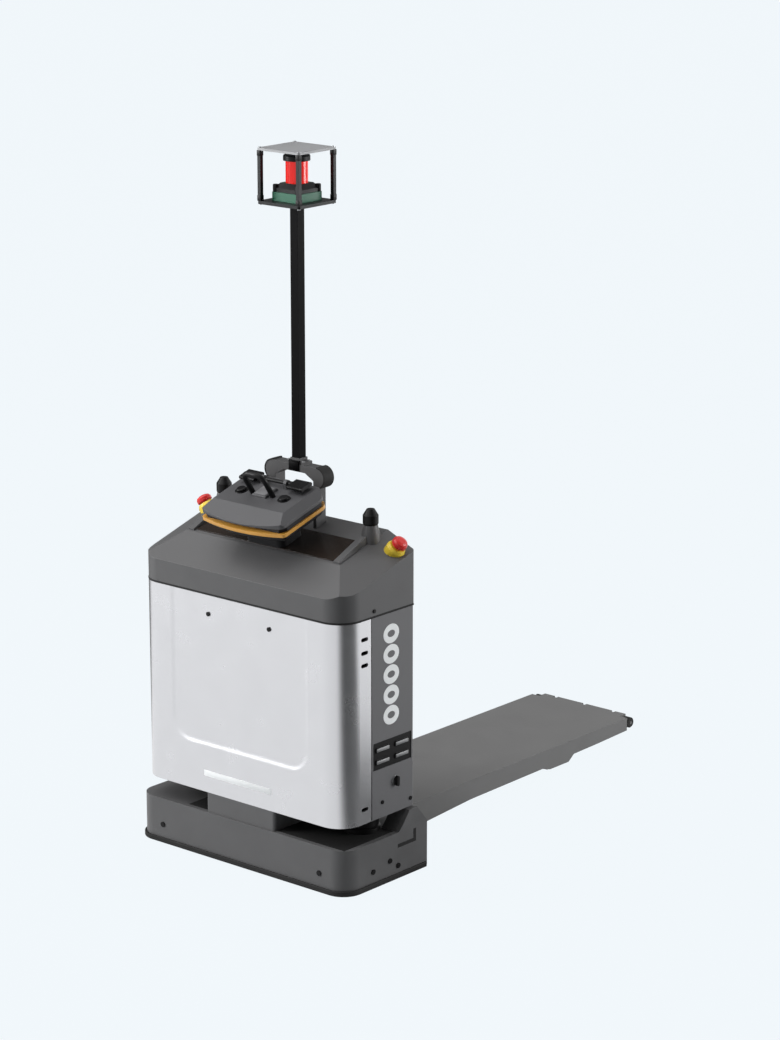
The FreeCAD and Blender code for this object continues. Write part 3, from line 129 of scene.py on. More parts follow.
def spread(tree: bpy.types.NodeTree, noise: bpy.types.NodeSocket, middle: float,
           swing: float) -> bpy.types.NodeSocket:
    """Spreads a noise pattern evenly about a value.

    Args:
        tree: node tree that receives the node.
        noise: the pattern's socket.
        middle: value about which it swings.
        swing: how far it swings to each side.

    Returns:
        Socket with the spread values.
    """
    return add_node(tree, "MapRange", {}, {
        "Value": noise, "From Min": NOISE_LOW, "From Max": NOISE_HIGH,
        "To Min": middle - swing, "To Max": middle + swing}).outputs["Result"]


# ------------------------------------------------------------------ finishes
@dataclass(frozen=True)
class Surface:
    """A real surface that becomes one shared material.

    Attributes:
        name: name of the material, for what the surface is.
        colour: sRGB hex colour of the clean surface.
        roughness: its mean roughness.
    """

    name: str
    colour: str
    roughness: float

    def shader(self, tree: bpy.types.NodeTree) -> bpy.types.NodeSocket:
        """Builds the surface's shader.

        Args:
            tree: the material's empty node tree.

        Returns:
            Socket with the finished shader.
        """
        raise NotImplementedError

    def material(self) -> bpy.types.Material:
        """Builds the material, or finds it when it is already there.

        Returns:
            The surface's material.
        """
        ready = bpy.data.materials.get(self.name)
        if ready:
            return ready
        made = bpy.data.materials.new(self.name)
        made.use_nodes = True
        made.diffuse_color = linear(self.colour)
        tree = made.node_tree
        tree.nodes.clear()
        add_node(tree, "OutputMaterial", {}, {"Surface": self.shader(tree)})
        return made


@dataclass(frozen=True)
class Finish(Surface):
    """One opaque finish with fine relief, faint mottling and worn edges.

    Attributes:
        grain_mm: size of the relief's grain.
        relief_mm: depth of the relief.
        mottle_mm: size of the pigment's broad unevenness.
        mottle: share by which that lightens and darkens the colour.
        metallic: share of bare metal in the look.
        coat: weight of a clear coat.
        coat_roughness: roughness of the clear coat.
        edge_mm: radius of rounded and rubbed edges, or 0 for none.
        wear: how far rubbed edges turn lighter.
        smudge: how far handling marks change the roughness.
        specular: strength of the plain reflection.
        stretch: scale of the grain along each axis.
        black_below: height over the console, in mm, under which a moulding is a black seal.
    """

    grain_mm: float = 1.2
    relief_mm: float = 0.01
    mottle_mm: float = 90.0
    mottle: float = 0.05
    metallic: float = 0.0
    coat: float = 0.0
    coat_roughness: float = 0.1
    edge_mm: float = 0.8
    wear: float = 0.25
    smudge: float = 0.06
    specular: float = 0.3
    stretch: Triple = (1.0, 1.0, 1.0)
    black_below: float = 0.0

    def shader(self, tree: bpy.types.NodeTree) -> bpy.types.NodeSocket:
        """Builds the surface's shader.

        Args:
            tree: the material's empty node tree.

        Returns:
            Socket with the finished shader.
        """
        place = add_node(tree, "TexCoord").outputs["Object"]
        # broad unevenness of the pigment, and the handling marks that dull a surface
        clouds = add_node(tree, "TexNoise", {}, {
            "Vector": place, "Scale": 1000 / self.mottle_mm, "Detail": 4.0,
            "Roughness": 0.6}).outputs["Fac"]
        tint = add_node(tree, "Mix", {"data_type": "RGBA", "blend_type": "MULTIPLY"}, {
            "Factor": 1.0, MIX_A: linear(self.colour),
            MIX_B: spread(tree, clouds, 1.0, self.mottle)})
        colour = tint.outputs[MIX_RESULT]
        normal = add_node(tree, "NewGeometry").outputs["Normal"]
        if self.edge_mm > 0:
            colour, normal = self.rubbed(tree, colour, normal)
        if self.black_below > 0:
            colour = self.sealed(tree, place, colour)
        stretched = add_node(tree, "Mapping", {}, {"Vector": place, "Scale": self.stretch})
        grain = add_node(tree, "TexNoise", {}, {
            "Vector": stretched.outputs["Vector"], "Scale": 1000 / self.grain_mm, "Detail": 3.0})
        relief = add_node(tree, "Bump", {}, {
            "Strength": 1.0, "Distance": self.relief_mm * MM, "Height": grain.outputs["Fac"],
            "Normal": normal})
        return add_node(tree, "BsdfPrincipled", {}, {
            "Base Color": colour, "Metallic": self.metallic,
            "Roughness": spread(tree, clouds, self.roughness, self.smudge),
            "Coat Weight": self.coat, "Coat Roughness": self.coat_roughness,
            "Specular IOR Level": self.specular,
            "Normal": relief.outputs["Normal"]}).outputs["BSDF"]

    def rubbed(self, tree: bpy.types.NodeTree, colour: bpy.types.NodeSocket,
               normal: bpy.types.NodeSocket
               ) -> tuple[bpy.types.NodeSocket, bpy.types.NodeSocket]:
        """Rounds the edges, and lightens them where hands and boxes rub the coat thin.

        Args:
            tree: the material's node tree.
            colour: colour away from the edges.
            normal: the flat surface's normal.

        Returns:
            Sockets with the new colour and the new normal.
        """
        rounded = add_node(tree, "Bevel", {"samples": EDGE_SAMPLES}, {
            "Radius": self.edge_mm * MM}).outputs["Normal"]
        turn = add_node(tree, "VectorMath", {"operation": "DOT_PRODUCT"}, {0: rounded, 1: normal})
        worn = add_node(tree, "MapRange", {}, {
            "Value": turn.outputs["Value"], "From Min": WEAR_START, "From Max": WEAR_FULL,
            "To Min": 0.0, "To Max": self.wear})
        lighter = add_node(tree, "HueSaturation", {}, {
            "Value": 1.7, "Saturation": 0.8, "Color": colour})
        mixed = add_node(tree, "Mix", {"data_type": "RGBA"}, {
            "Factor": worn.outputs["Result"], MIX_A: colour, MIX_B: lighter.outputs["Color"]})
        return mixed.outputs[MIX_RESULT], rounded

    def sealed(self, tree: bpy.types.NodeTree, place: bpy.types.NodeSocket,
               colour: bpy.types.NodeSocket) -> bpy.types.NodeSocket:
        """Blackens the moulding's lower band, square to the tilted console.

        Args:
            tree: the material's node tree.
            place: the surface's own coordinates.
            colour: colour above the band.

        Returns:
            Socket with the new colour.
        """
        rise = add_node(tree, "VectorMath", {"operation": "DOT_PRODUCT"}, {
            0: place, 1: CONSOLE_NORMAL})
        above = add_node(tree, "Math", {"operation": "GREATER_THAN"}, {
            0: rise.outputs["Value"],
            1: CONSOLE_NORMAL.dot(CONSOLE_ORIGIN) + self.black_below * MM})
        mixed = add_node(tree, "Mix", {"data_type": "RGBA"}, {
            "Factor": above.outputs["Value"], MIX_A: linear("#0d0f16"), MIX_B: colour})
        return mixed.outputs[MIX_RESULT]


@dataclass(frozen=True)
class ClearFinish(Surface):
    """A tinted see-through moulding with a faint painted glow, though nothing inside it shines.

    Attributes:
        glow: strength of the painted glow that brightens it.
        clearness: share of light that it lets through.
    """

    glow: float = 0.0
    clearness: float = 0.7

    def shader(self, tree: bpy.types.NodeTree) -> bpy.types.NodeSocket:
        """Builds the surface's shader.

        Args:
            tree: the material's empty node tree.

        Returns:
            Socket with the finished shader.
        """
        place = add_node(tree, "TexCoord").outputs["Object"]
        haze = add_node(tree, "TexNoise", {}, {"Vector": place, "Scale": 60.0, "Detail": 3.0})
        dull = add_node(tree, "MapRange", {}, {
            "Value": haze.outputs["Fac"], "To Min": self.roughness * 0.7,
            "To Max": self.roughness * 1.3})
        return add_node(tree, "BsdfPrincipled", {}, {
            "Base Color": linear(self.colour), "Roughness": dull.outputs["Result"],
            "Transmission Weight": self.clearness, "IOR": 1.49,
            # painted glow: emission that brightens the moulding, though no lamp is in it
            "Emission Color": linear(self.colour),
            "Emission Strength": self.glow}).outputs["BSDF"]


class Finishes:
    """The object's finishes, named for what each real surface is."""

    # polyester powder coat on sheet steel: an even satin skin with a faint orange peel
    BASE = Finish("powder_coat_graphite", "#5c5c5d", 0.46, grain_mm=1.6, relief_mm=0.012)
    DECK = Finish("powder_coat_mid_grey", "#6c6c6c", 0.5, grain_mm=1.6, relief_mm=0.014, wear=0.2)
    BRIDGE = Finish("powder_coat_charcoal", "#4c4c4d", 0.42, grain_mm=1.4, relief_mm=0.01)
    BLACK_COAT = Finish("powder_coat_black", "#141415", 0.4, grain_mm=1.3, relief_mm=0.01, wear=0.3,
                        specular=0.18)
    MAST = Finish("powder_coat_mast_black", "#070708", 0.42, grain_mm=1.2, relief_mm=0.008,
                  specular=0.04, wear=0.1)
    # silver metallic lacquer over moulded panels: soft sparkle under a clear coat
    SILVER = Finish("silver_metallic_lacquer", "#dcdde0", 0.26, grain_mm=9.0, relief_mm=0.002,
                    metallic=0.85, coat=0.3, coat_roughness=0.15, mottle=0.01, edge_mm=0.0,
                    smudge=0.02, specular=0.5)
    # moulded ABS with a spark-eroded grain: matt, and a little brighter on its edges; the
    # head's lowest band is a black seal
    CAP = Finish("moulded_abs_graphite", "#5a5a5b", 0.43, grain_mm=0.9, relief_mm=0.02,
                 mottle=0.03, edge_mm=1.6, wear=0.3)
    PANEL = Finish("moulded_abs_side_grey", "#68686a", 0.45, grain_mm=0.9, relief_mm=0.015,
                   mottle=0.03)
    HEAD = Finish("moulded_abs_head_grey", "#525254", 0.42, grain_mm=0.8, relief_mm=0.02,
                  edge_mm=1.4, wear=0.35, black_below=101.0)
    HEAD_LOW = Finish("moulded_abs_black_grey", "#19191b", 0.5, grain_mm=0.8, relief_mm=0.02,
                      specular=0.2)
    BLACK_PLASTIC = Finish("moulded_nylon_black", "#0f0f10", 0.42, grain_mm=0.7, relief_mm=0.012,
                           wear=0.3, specular=0.18)
    # glossy PMMA-faced ABS: nearly black with a warm cast
    GLOSS = Finish("gloss_abs_brown_black", "#2e2723", 0.24, grain_mm=6.0, relief_mm=0.004,
                   coat=0.25, coat_roughness=0.12, mottle=0.03, wear=0.05, smudge=0.03)
    # polished injection-moulded caps of the stop controls
    STOP_RED = Finish("gloss_abs_signal_red", "#d22a27", 0.28, grain_mm=2.0, relief_mm=0.004,
                      coat=0.3, edge_mm=1.0, wear=0.15)
    STOP_YELLOW = Finish("gloss_abs_signal_yellow", "#e6c83c", 0.34, grain_mm=2.0,
                         relief_mm=0.005, coat=0.2, edge_mm=0.8, wear=0.15)
    # amber acrylic light pipe with a satin face
    AMBER = Finish("satin_acrylic_amber", "#d59c44", 0.35, grain_mm=1.5, relief_mm=0.006,
                   coat=0.3, wear=0.15, edge_mm=1.0)
    # anodised aluminium: fine drawn lines along the bar, dull metal sheen
    CAGE = Finish("anodised_aluminium_dark", "#1f2021", 0.4, grain_mm=0.6, relief_mm=0.004,
                  metallic=0.35, specular=0.2, stretch=(1.0, 1.0, 0.08))
    CAGE_LIGHT = Finish("anodised_aluminium_natural", "#9c9d9f", 0.42, grain_mm=0.6,
                        relief_mm=0.004, metallic=0.1, specular=0.2,
                        stretch=(1.0, 0.08, 1.0), wear=0.1)
    GREEN = Finish("enamelled_alloy_green", "#2a6b52", 0.4, grain_mm=1.2, relief_mm=0.012)
    # zinc-plated steel: cool bright metal, a little uneven
    ZINC = Finish("zinc_plated_steel", "#b9bbbd", 0.32, grain_mm=0.8, relief_mm=0.004,
                  metallic=1.0, mottle=0.08, wear=0.1)
    CONTACT = Finish("brushed_contact_alloy", "#8b8c8d", 0.45, grain_mm=0.6, relief_mm=0.006,
                     metallic=0.6, stretch=(1.0, 0.1, 1.0))
    CHROME = Finish("chrome_plated_steel", "#cfd1d3", 0.12, grain_mm=4.0, relief_mm=0.001,
                    metallic=1.0, mottle=0.02, wear=0.0, smudge=0.04)
    CAST = Finish("sand_cast_alloy", "#8e9092", 0.55, grain_mm=1.8, relief_mm=0.06, metallic=0.8)
    # vulcanised rubber and cast polyurethane tyres: matt, slightly dusty
    RUBBER = Finish("vulcanised_rubber", "#191919", 0.72, grain_mm=1.5, relief_mm=0.03, wear=0.4)
    URETHANE = Finish("cast_polyurethane_dark", "#262220", 0.55, grain_mm=2.5, relief_mm=0.02)
    NYLON = Finish("machined_nylon_natural", "#d9d5c8", 0.5, grain_mm=1.0, relief_mm=0.01)
    # near-black matt sheet: painted shade on the base's top under the body
    SHADE_MAT = Finish("painted_shade_black", "#0c0c0c", 0.8, grain_mm=1.5, relief_mm=0.03, wear=0.1)
    PAD = Finish("moulded_abs_light_grey", "#7d7d7f", 0.45, grain_mm=0.8, relief_mm=0.01)
    WHITE = Finish("screen_printed_white", "#eef0f1", 0.45, grain_mm=0.8, relief_mm=0.004,
                   mottle=0.02, edge_mm=0.2, wear=0.0)
    # the red window's faint glow is painted light, not a lamp
    RED_WINDOW = ClearFinish("polycarbonate_red", "#e01b12", 0.12, glow=0.35, clearness=0.55)


NODE_FINISHES: dict[str, Surface] = {
    "base_skirt": Finishes.BASE, "bumper_strip": Finishes.RUBBER,
    "chassis_plate": Finishes.BLACK_COAT, "neck_block": Finishes.BASE,
    "body_frame": Finishes.BLACK_COAT, "front_cover": Finishes.SILVER,
    "side_panel_left": Finishes.PANEL, "side_panel_right": Finishes.PANEL,
    "rear_cover": Finishes.PANEL, "charge_contacts": Finishes.BLACK_PLASTIC,
    "key_bezel": Finishes.ZINC, "key_handle": Finishes.BLACK_PLASTIC,
    "battery_pack": Finishes.BLACK_PLASTIC, "controller_box": Finishes.BLACK_PLASTIC,
    "lift_power_unit": Finishes.CAST, "cap_shell": Finishes.CAP,
    "console_panel": Finishes.GLOSS, "head_lower": Finishes.HEAD_LOW,
    "light_strip": Finishes.AMBER, "head_upper": Finishes.HEAD,
    "guard_hoop": Finishes.BLACK_COAT, "horn_button": Finishes.BLACK_PLASTIC,
    "lift_button": Finishes.BLACK_PLASTIC, "throttle_levers": Finishes.BLACK_PLASTIC,
    "stop_collars": Finishes.STOP_YELLOW, "stop_button_right": Finishes.STOP_RED,
    "stop_button_left": Finishes.STOP_RED, "aerials": Finishes.BLACK_PLASTIC,
    "mast_bridge": Finishes.BRIDGE, "mast_tube": Finishes.MAST, "sensor_cage": Finishes.CAGE,
    "cage_roof": Finishes.CAGE_LIGHT, "mast_screws": Finishes.ZINC,
    "lidar_base": Finishes.GREEN, "lidar_window": Finishes.RED_WINDOW,
    "lidar_rotor": Finishes.BLACK_PLASTIC, "lidar_cap": Finishes.BLACK_PLASTIC,
    "lift_rails": Finishes.BLACK_COAT, "lift_carriage": Finishes.DECK,
    "slide_pads": Finishes.NYLON, "lift_cylinder": Finishes.BLACK_COAT,
    "lift_rod": Finishes.CHROME, "deck_shell": Finishes.DECK,
    "tip_roller_left": Finishes.RUBBER, "tip_roller_right": Finishes.RUBBER,
    "rocker_frame": Finishes.BLACK_COAT, "load_wheel_left": Finishes.URETHANE,
    "load_wheel_right": Finishes.URETHANE, "push_rod": Finishes.ZINC,
    "drive_wheel": Finishes.URETHANE, "drive_yoke": Finishes.CAST,
    "drive_motor": Finishes.BLACK_COAT, "steer_pinion": Finishes.ZINC,
    "steer_motor": Finishes.CAST, "caster_fork_left": Finishes.ZINC,
    "caster_wheel_left": Finishes.URETHANE, "caster_fork_right": Finishes.ZINC,
    "caster_wheel_right": Finishes.URETHANE, "scanners": Finishes.BLACK_PLASTIC,
    "cover_screws": Finishes.BLACK_PLASTIC,
}


# ------------------------------------------------------------------ drawing
def full_turn(steps: int) -> list[float]:
    """Spaces points evenly round a circle.

    Args:
        steps: number of points.

    Returns:
        Their angles in radians.
    """
    return [math.tau * step / steps for step in range(steps)]


def arc_path(centre: Vector, across: Vector, upward: Vector, reach: tuple[float, float],
             angles: Iterable[float]) -> list[PathPoint]:
    """Walks along an ellipse.

    Args:
        centre: its middle.
        across: direction at angle 0.
        upward: direction at a quarter turn.
        reach: how far it reaches along across and along upward.
        angles: angles of the points in radians.

    Returns:
        Points, each with the outward direction there.
    """
    path = []
    for angle in angles:
        along, rise = math.cos(angle), math.sin(angle)
        path.append((centre + across * (reach[0] * along) + upward * (reach[1] * rise),
                     across * along + upward * rise))
    return path


def front_path(half: float, front: float, back: float, radius: float, origin: Vector,
               upward: Vector, steps: int = 10) -> list[PathPoint]:
    """Walks round an outline whose two front corners are rounded, from back to back.

    Args:
        half: half its width, to the right and left of origin.
        front: place of its front along upward.
        back: place of its two open ends along upward.
        radius: radius of the front corners.
        origin: where both measures start.
        upward: direction from its front to its back.
        steps: points on each corner.

    Returns:
        Points, each with the outward direction there.
    """
    walk = [(-half, back, -1.0, 0.0)]
    for side, begin in ((-1, math.pi), (1, math.pi * 1.5)):
        for step in range(steps + 1):
            angle = begin + math.pi / 2 * step / steps
            out_u, out_v = math.cos(angle), math.sin(angle)
            walk.append((side * (half - radius) + radius * out_u,
                         front + radius + radius * out_v, out_u, out_v))
    walk.append((half, back, 1.0, 0.0))
    return [(origin + RIGHT * u + upward * v, RIGHT * out_u + upward * out_v)
            for u, v, out_u, out_v in walk]


class Drawing:
    """A detail piece being drawn in millimetres, where it lies on the machine."""

    def __init__(self, name: str, finish: Surface, slot: Slot, place: Matrix | None = None
                 ) -> None:
        """Starts an empty piece.

        Args:
            name: name of the Blender object.
            finish: its surface finish.
            slot: the record's material slot that it belongs to; not used.
            place: frame in which it is drawn, or the machine's own.
        """
        self.name = name
        self.finish = finish
        self.slot = slot
        self.place = Matrix.Identity(4) if place is None else place
        self.shape = bmesh.new()

    def soften(self, edges: Iterable[bmesh.types.BMEdge], bevel: float, segments: int) -> None:
        """Bevels edges.

        Args:
            edges: the edges, in any order.
            bevel: width of the bevel, or 0 for none.
            segments: faces across it.
        """
        if bevel > 0:
            bmesh.ops.bevel(self.shape, geom=list(edges), offset=bevel, segments=segments,
                            profile=0.5, affect="EDGES", material=-1)

    def block(self, low: Sequence[float], high: Sequence[float], bevel: float = 0.0) -> None:
        """Adds a box.

        Args:
            low: its lowest corner.
            high: its highest corner.
            bevel: width of the bevel on all its edges.
        """
        low_v, high_v = Vector(low), Vector(high)
        span = high_v - low_v
        matrix = self.place @ Matrix.Translation((low_v + high_v) / 2) @ Matrix.Diagonal((*span, 1))
        made = bmesh.ops.create_cube(self.shape, size=1.0, matrix=matrix)
        self.soften({edge for vert in made["verts"] for edge in vert.link_edges}, bevel, 2)

    def disc(self, centre: Sequence[float], radius: float, depth: float, axis: Sequence[float],
             bevel: float = 0.0, sides: int = 32) -> None:
        """Adds a disc.

        Args:
            centre: middle of its back.
            radius: its radius.
            depth: how far it stands out.
            axis: direction in which it stands out.
            bevel: width of the bevel round both faces.
            sides: corners of its outline.
        """
        way = Vector(axis).normalized()
        turn = way.to_track_quat("Z", "Y").to_matrix().to_4x4()
        matrix = self.place @ Matrix.Translation(Vector(centre) + way * depth / 2) @ turn
        made = bmesh.ops.create_cone(self.shape, cap_ends=True, segments=sides, radius1=radius,
                                     radius2=radius, depth=depth, matrix=matrix)
        self.soften({edge for vert in made["verts"] for edge in vert.link_edges
                     if edge.calc_face_angle(0.0) > 1.0}, bevel, 3)

    def prism(self, outline: Sequence[Sequence[float]], depth: Sequence[float]) -> None:
        """Adds a flat outline pushed along a depth.

        Args:
            outline: its corners.
            depth: how far and where it is pushed.
        """
        verts = [self.shape.verts.new(self.place @ Vector(point)) for point in outline]
        face = self.shape.faces.new(verts)
        grown = bmesh.ops.extrude_face_region(self.shape, geom=[face])
        moved = [item for item in grown["geom"] if isinstance(item, bmesh.types.BMVert)]
        turn = self.place.to_3x3()
        bmesh.ops.translate(self.shape, verts=moved, vec=turn @ Vector(depth))

    def sweep(self, path: Sequence[PathPoint], section: Section, up: Vector,
              closed: bool = False) -> None:
        """Carries a section along a path.

        Args:
            path: points, each with the direction that the section's first number follows.
            section: corners as sideways and upward distances.
            up: direction that the section's second number follows.
            closed: whether the path runs back into its start.
        """
        rows = [[self.shape.verts.new(self.place @ (point + side * a + up * b))
                 for a, b in section] for point, side in path]
        count = len(section)
        spans = list(zip(rows, rows[1:])) + ([(rows[-1], rows[0])] if closed else [])
        for first, second in spans:
            for i in range(count):
                j = (i + 1) % count
                self.shape.faces.new((first[i], first[j], second[j], second[i]))
        if not closed:
            self.shape.faces.new(rows[0])
            self.shape.faces.new(list(reversed(rows[-1])))

    def done(self) -> None:
        """Turns the drawing into an object, dressed and riding on the chassis."""
        bmesh.ops.recalc_face_normals(self.shape, faces=self.shape.faces[:])
        bmesh.ops.scale(self.shape, vec=(MM, MM, MM), verts=self.shape.verts[:])
        for face in self.shape.faces:
            face.smooth = True
        for edge in self.shape.edges:
            edge.smooth = edge.calc_face_angle(0.0) < SHARP
        mesh = bpy.data.meshes.new(self.name)
        self.shape.to_mesh(mesh)
        self.shape.free()
        made = bpy.data.objects.new(self.name, mesh)
        bpy.context.scene.collection.objects.link(made)
        mesh.materials.append(self.finish.material())
        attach(made, CHASSIS)
        LOG.info("piece %s: %d faces", self.name, len(mesh.polygons))


# ------------------------------------------------------------------ detail pieces
@dataclass(frozen=True)
class CoverTrim:
    """Seams, marks and inserts of the body and its base, in millimetres.

    Attributes:
        half: half the body's width.
        front: the front cover's face.
        rear: the rear cover's face.
        corner: radius of the front cover's corners.
        low: lower edge of the covers.
        high: upper edge of the covers.
        seam: joint between the front cover and the side panels.
        recess_half: half the width of the front cover's recess.
        recess_low: lower edge of the recess.
        recess_corner: radius of its corners.
        recess_depth: its depth.
        base_half: half the base's width.
        base_front: the base's front face.
        base_top: top of the base under the body.
        mat_front: front edge of the painted shade mats on the base.
        mat_back: back edge of the painted shade mats.
        contact_start: first contact strip, behind the seam.
        contact_low: lowest contact strip, above the covers' lower edge.
        contact_pitch: steps between contact strips, along and up.
        contact_span: length and height of a contact strip.
        bar_reach: ends of the printed bar.
        bar_low: the bar's lower edge, above the cover's.
        bar_height: its height.
        ring_place: middle of the column of rings.
        ring_low: middle of the lowest ring.
        ring_pitch: step between rings.
        ring_count: number of rings.
        ring_reach: reach of a ring's middle line, along and up.
        ring_band: half the width of a ring's band.
    """

    half: float = 349.0
    front: float = -724.0
    rear: float = -454.0
    corner: float = 65.0
    low: float = 184.0
    high: float = 713.0
    seam: float = -616.0
    recess_half: float = 236.0
    recess_low: float = 308.0
    recess_corner: float = 62.0
    recess_depth: float = 2.5
    base_half: float = 360.0
    base_front: float = -728.0
    base_top: float = 131.0
    mat_front: float = -714.0
    mat_back: float = -528.0
    contact_start: float = 20.0
    contact_low: float = 144.0
    contact_pitch: tuple[float, float] = (73.5, 32.0)
    contact_span: tuple[float, float] = (47.0, 9.0)
    bar_reach: tuple[float, float] = (-124.0, 108.0)
    bar_low: float = 43.0
    bar_height: float = 16.0
    ring_place: float = -540.0
    ring_low: float = 446.0
    ring_pitch: float = 53.0
    ring_count: int = 5
    ring_reach: tuple[float, float] = (22.0, 17.0)
    ring_band: float = 8.0

    def build(self) -> None:
        """Builds every piece of the group."""
        self.recess_edge()
        self.gasket()
        self.panel_seals()
        self.contact_bars()
        self.side_rings()
        self.front_bar()
        self.grip_inserts()
        self.painted_shade_mats()
        self.screw_sockets()

    def recess_edge(self) -> None:
        """Soft moulded ramp from the cover's face down to its shallow recess."""
        piece = Drawing("recess_edge", Finishes.SILVER, Slot.SILVER_COVER)
        deep = self.recess_depth
        path = front_path(self.recess_half, self.recess_low, self.high - 1, self.recess_corner,
                          Vector((0.0, self.front + deep, 0.0)), UP, 14)
        section = [(1.5, -0.2), (1.5, deep + 0.05), (-0.5, deep), (-1.8, deep * 0.95),
                   (-3.5, deep * 0.8), (-6.5, deep * 0.52), (-9.5, deep * 0.24),
                   (-11.2, deep * 0.09), (-13.5, 0.03), (-13.5, -0.2)]
        piece.sweep(path, section, -BACK)
        piece.done()

    def gasket(self) -> None:
        """Rubber gasket between the cover and the moulded cap."""
        piece = Drawing("cap_gasket", Finishes.RUBBER, Slot.BLACK_RUBBER)
        path = front_path(self.half, self.front, self.rear, self.corner, UP * self.high, BACK)
        piece.sweep(path, [(-2, -0.5), (0.7, -0.5), (1.1, 1.5), (0.7, 4.5), (-2, 4.5)], UP)
        piece.done()

    def panel_seals(self) -> None:
        """Rubber lips in the joints between the front cover and the side panels."""
        piece = Drawing("panel_seals", Finishes.RUBBER, Slot.BLACK_RUBBER)
        for side in SIDES:
            near, far = sorted((side * (self.half - 1), side * (self.half + 0.35)))
            piece.block((near, self.seam - 0.5, self.low + 2),
                        (far, self.seam + 2.5, self.high), 0.3)
        piece.done()

    def contact_bars(self) -> None:
        """Bright contact strips on the charging block."""
        piece = Drawing("contact_bars", Finishes.CONTACT, Slot.SCREW_STEEL)
        length, height = self.contact_span
        for column in range(2):
            for row in range(2):
                near = self.seam + self.contact_start + self.contact_pitch[0] * column
                base = self.low + self.contact_low + self.contact_pitch[1] * row
                piece.block((self.half + 0.8, near, base),
                            (self.half + 1.9, near + length, base + height), 0.5)
        piece.done()

    def side_rings(self) -> None:
        """Plain printed rings in a column on the right panel."""
        piece = Drawing("side_rings", Finishes.WHITE, Slot.NYLON)
        band = self.ring_band
        for index in range(self.ring_count):
            centre = Vector((self.half, self.ring_place, self.ring_low + self.ring_pitch * index))
            piece.sweep(arc_path(centre, BACK, UP, self.ring_reach, full_turn(36)),
                        [(-band, 0), (band, 0), (band - 0.5, 0.4), (0.5 - band, 0.4)], RIGHT,
                        closed=True)
        piece.done()

    def front_bar(self) -> None:
        """Plain printed bar low on the front cover."""
        piece = Drawing("front_bar", Finishes.WHITE, Slot.NYLON)
        start, end = self.bar_reach
        base = self.low + self.bar_low
        piece.block((start, self.front - 0.4, base),
                    (end, self.front + 0.5, base + self.bar_height), 0.2)
        piece.done()

    def grip_inserts(self) -> None:
        """Rubber inserts in the angular grip slots of the base."""
        piece = Drawing("grip_inserts", Finishes.RUBBER, Slot.BLACK_RUBBER)
        outline = ((-527, 91), (-456, 91), (-456, 126), (-466, 126), (-466, 101), (-527, 101))
        for side in SIDES:
            piece.prism([(side * (self.base_half - 3), y, z) for y, z in outline],
                        (side * 3.3, 0, 0))
        piece.done()

    def painted_shade_mats(self) -> None:
        """Painted shade: matt black mats on the base under the body, where the floor scanners look
        out; long on the right, short on the left where light reaches that side.
        """
        piece = Drawing("painted_shade_mats", Finishes.SHADE_MAT, Slot.BLACK_RUBBER)
        # painted shade: the right mat runs far out under the body's shadow, the left one stays
        # short by the neck where that side is lit
        for near, far in ((-190.0, -119.0), (119.0, 344.0)):
            piece.block((near, self.mat_front, self.base_top),
                        (far, self.mat_back, self.base_top + 0.8), 0.3)
        piece.done()

    def screw_spots(self) -> list[tuple[Vector, Vector]]:
        """Lists the screws of the covers and the base.

        Returns:
            Middle of each screw's seat, and the direction in which its head stands out.
        """
        spots = [(Vector((x, self.front + 2.5, self.high - 51)), -BACK) for x in (-104, 104)]
        spots += [(Vector((x, self.base_front, 60)), -BACK) for x in (-272, 272)]
        for side in SIDES:
            spots += [(Vector((side * self.half, y, z)), RIGHT * side)
                      for y, z in ((-575, 224), (-466, 206), (-605, 730))]
            spots += [(Vector((side * self.base_half, y, z)), RIGHT * side)
                      for y, z in ((-623, 54), (-558, 65), (-526, 44))]
        spots += [(Vector((x, self.rear, z)), BACK) for x in (-290, 290) for z in (214, 683)]
        return spots

    def screw_sockets(self) -> None:
        """Dark hexagon sockets in the screws' heads."""
        head_height, socket_radius, socket_proud = 2.3, 2.4, 0.3
        piece = Drawing("screw_sockets", Finishes.BLACK_PLASTIC, Slot.BLACK_PLASTIC)
        for centre, axis in self.screw_spots():
            piece.disc(centre + axis * head_height, socket_radius, socket_proud, axis, sides=6)
        piece.done()


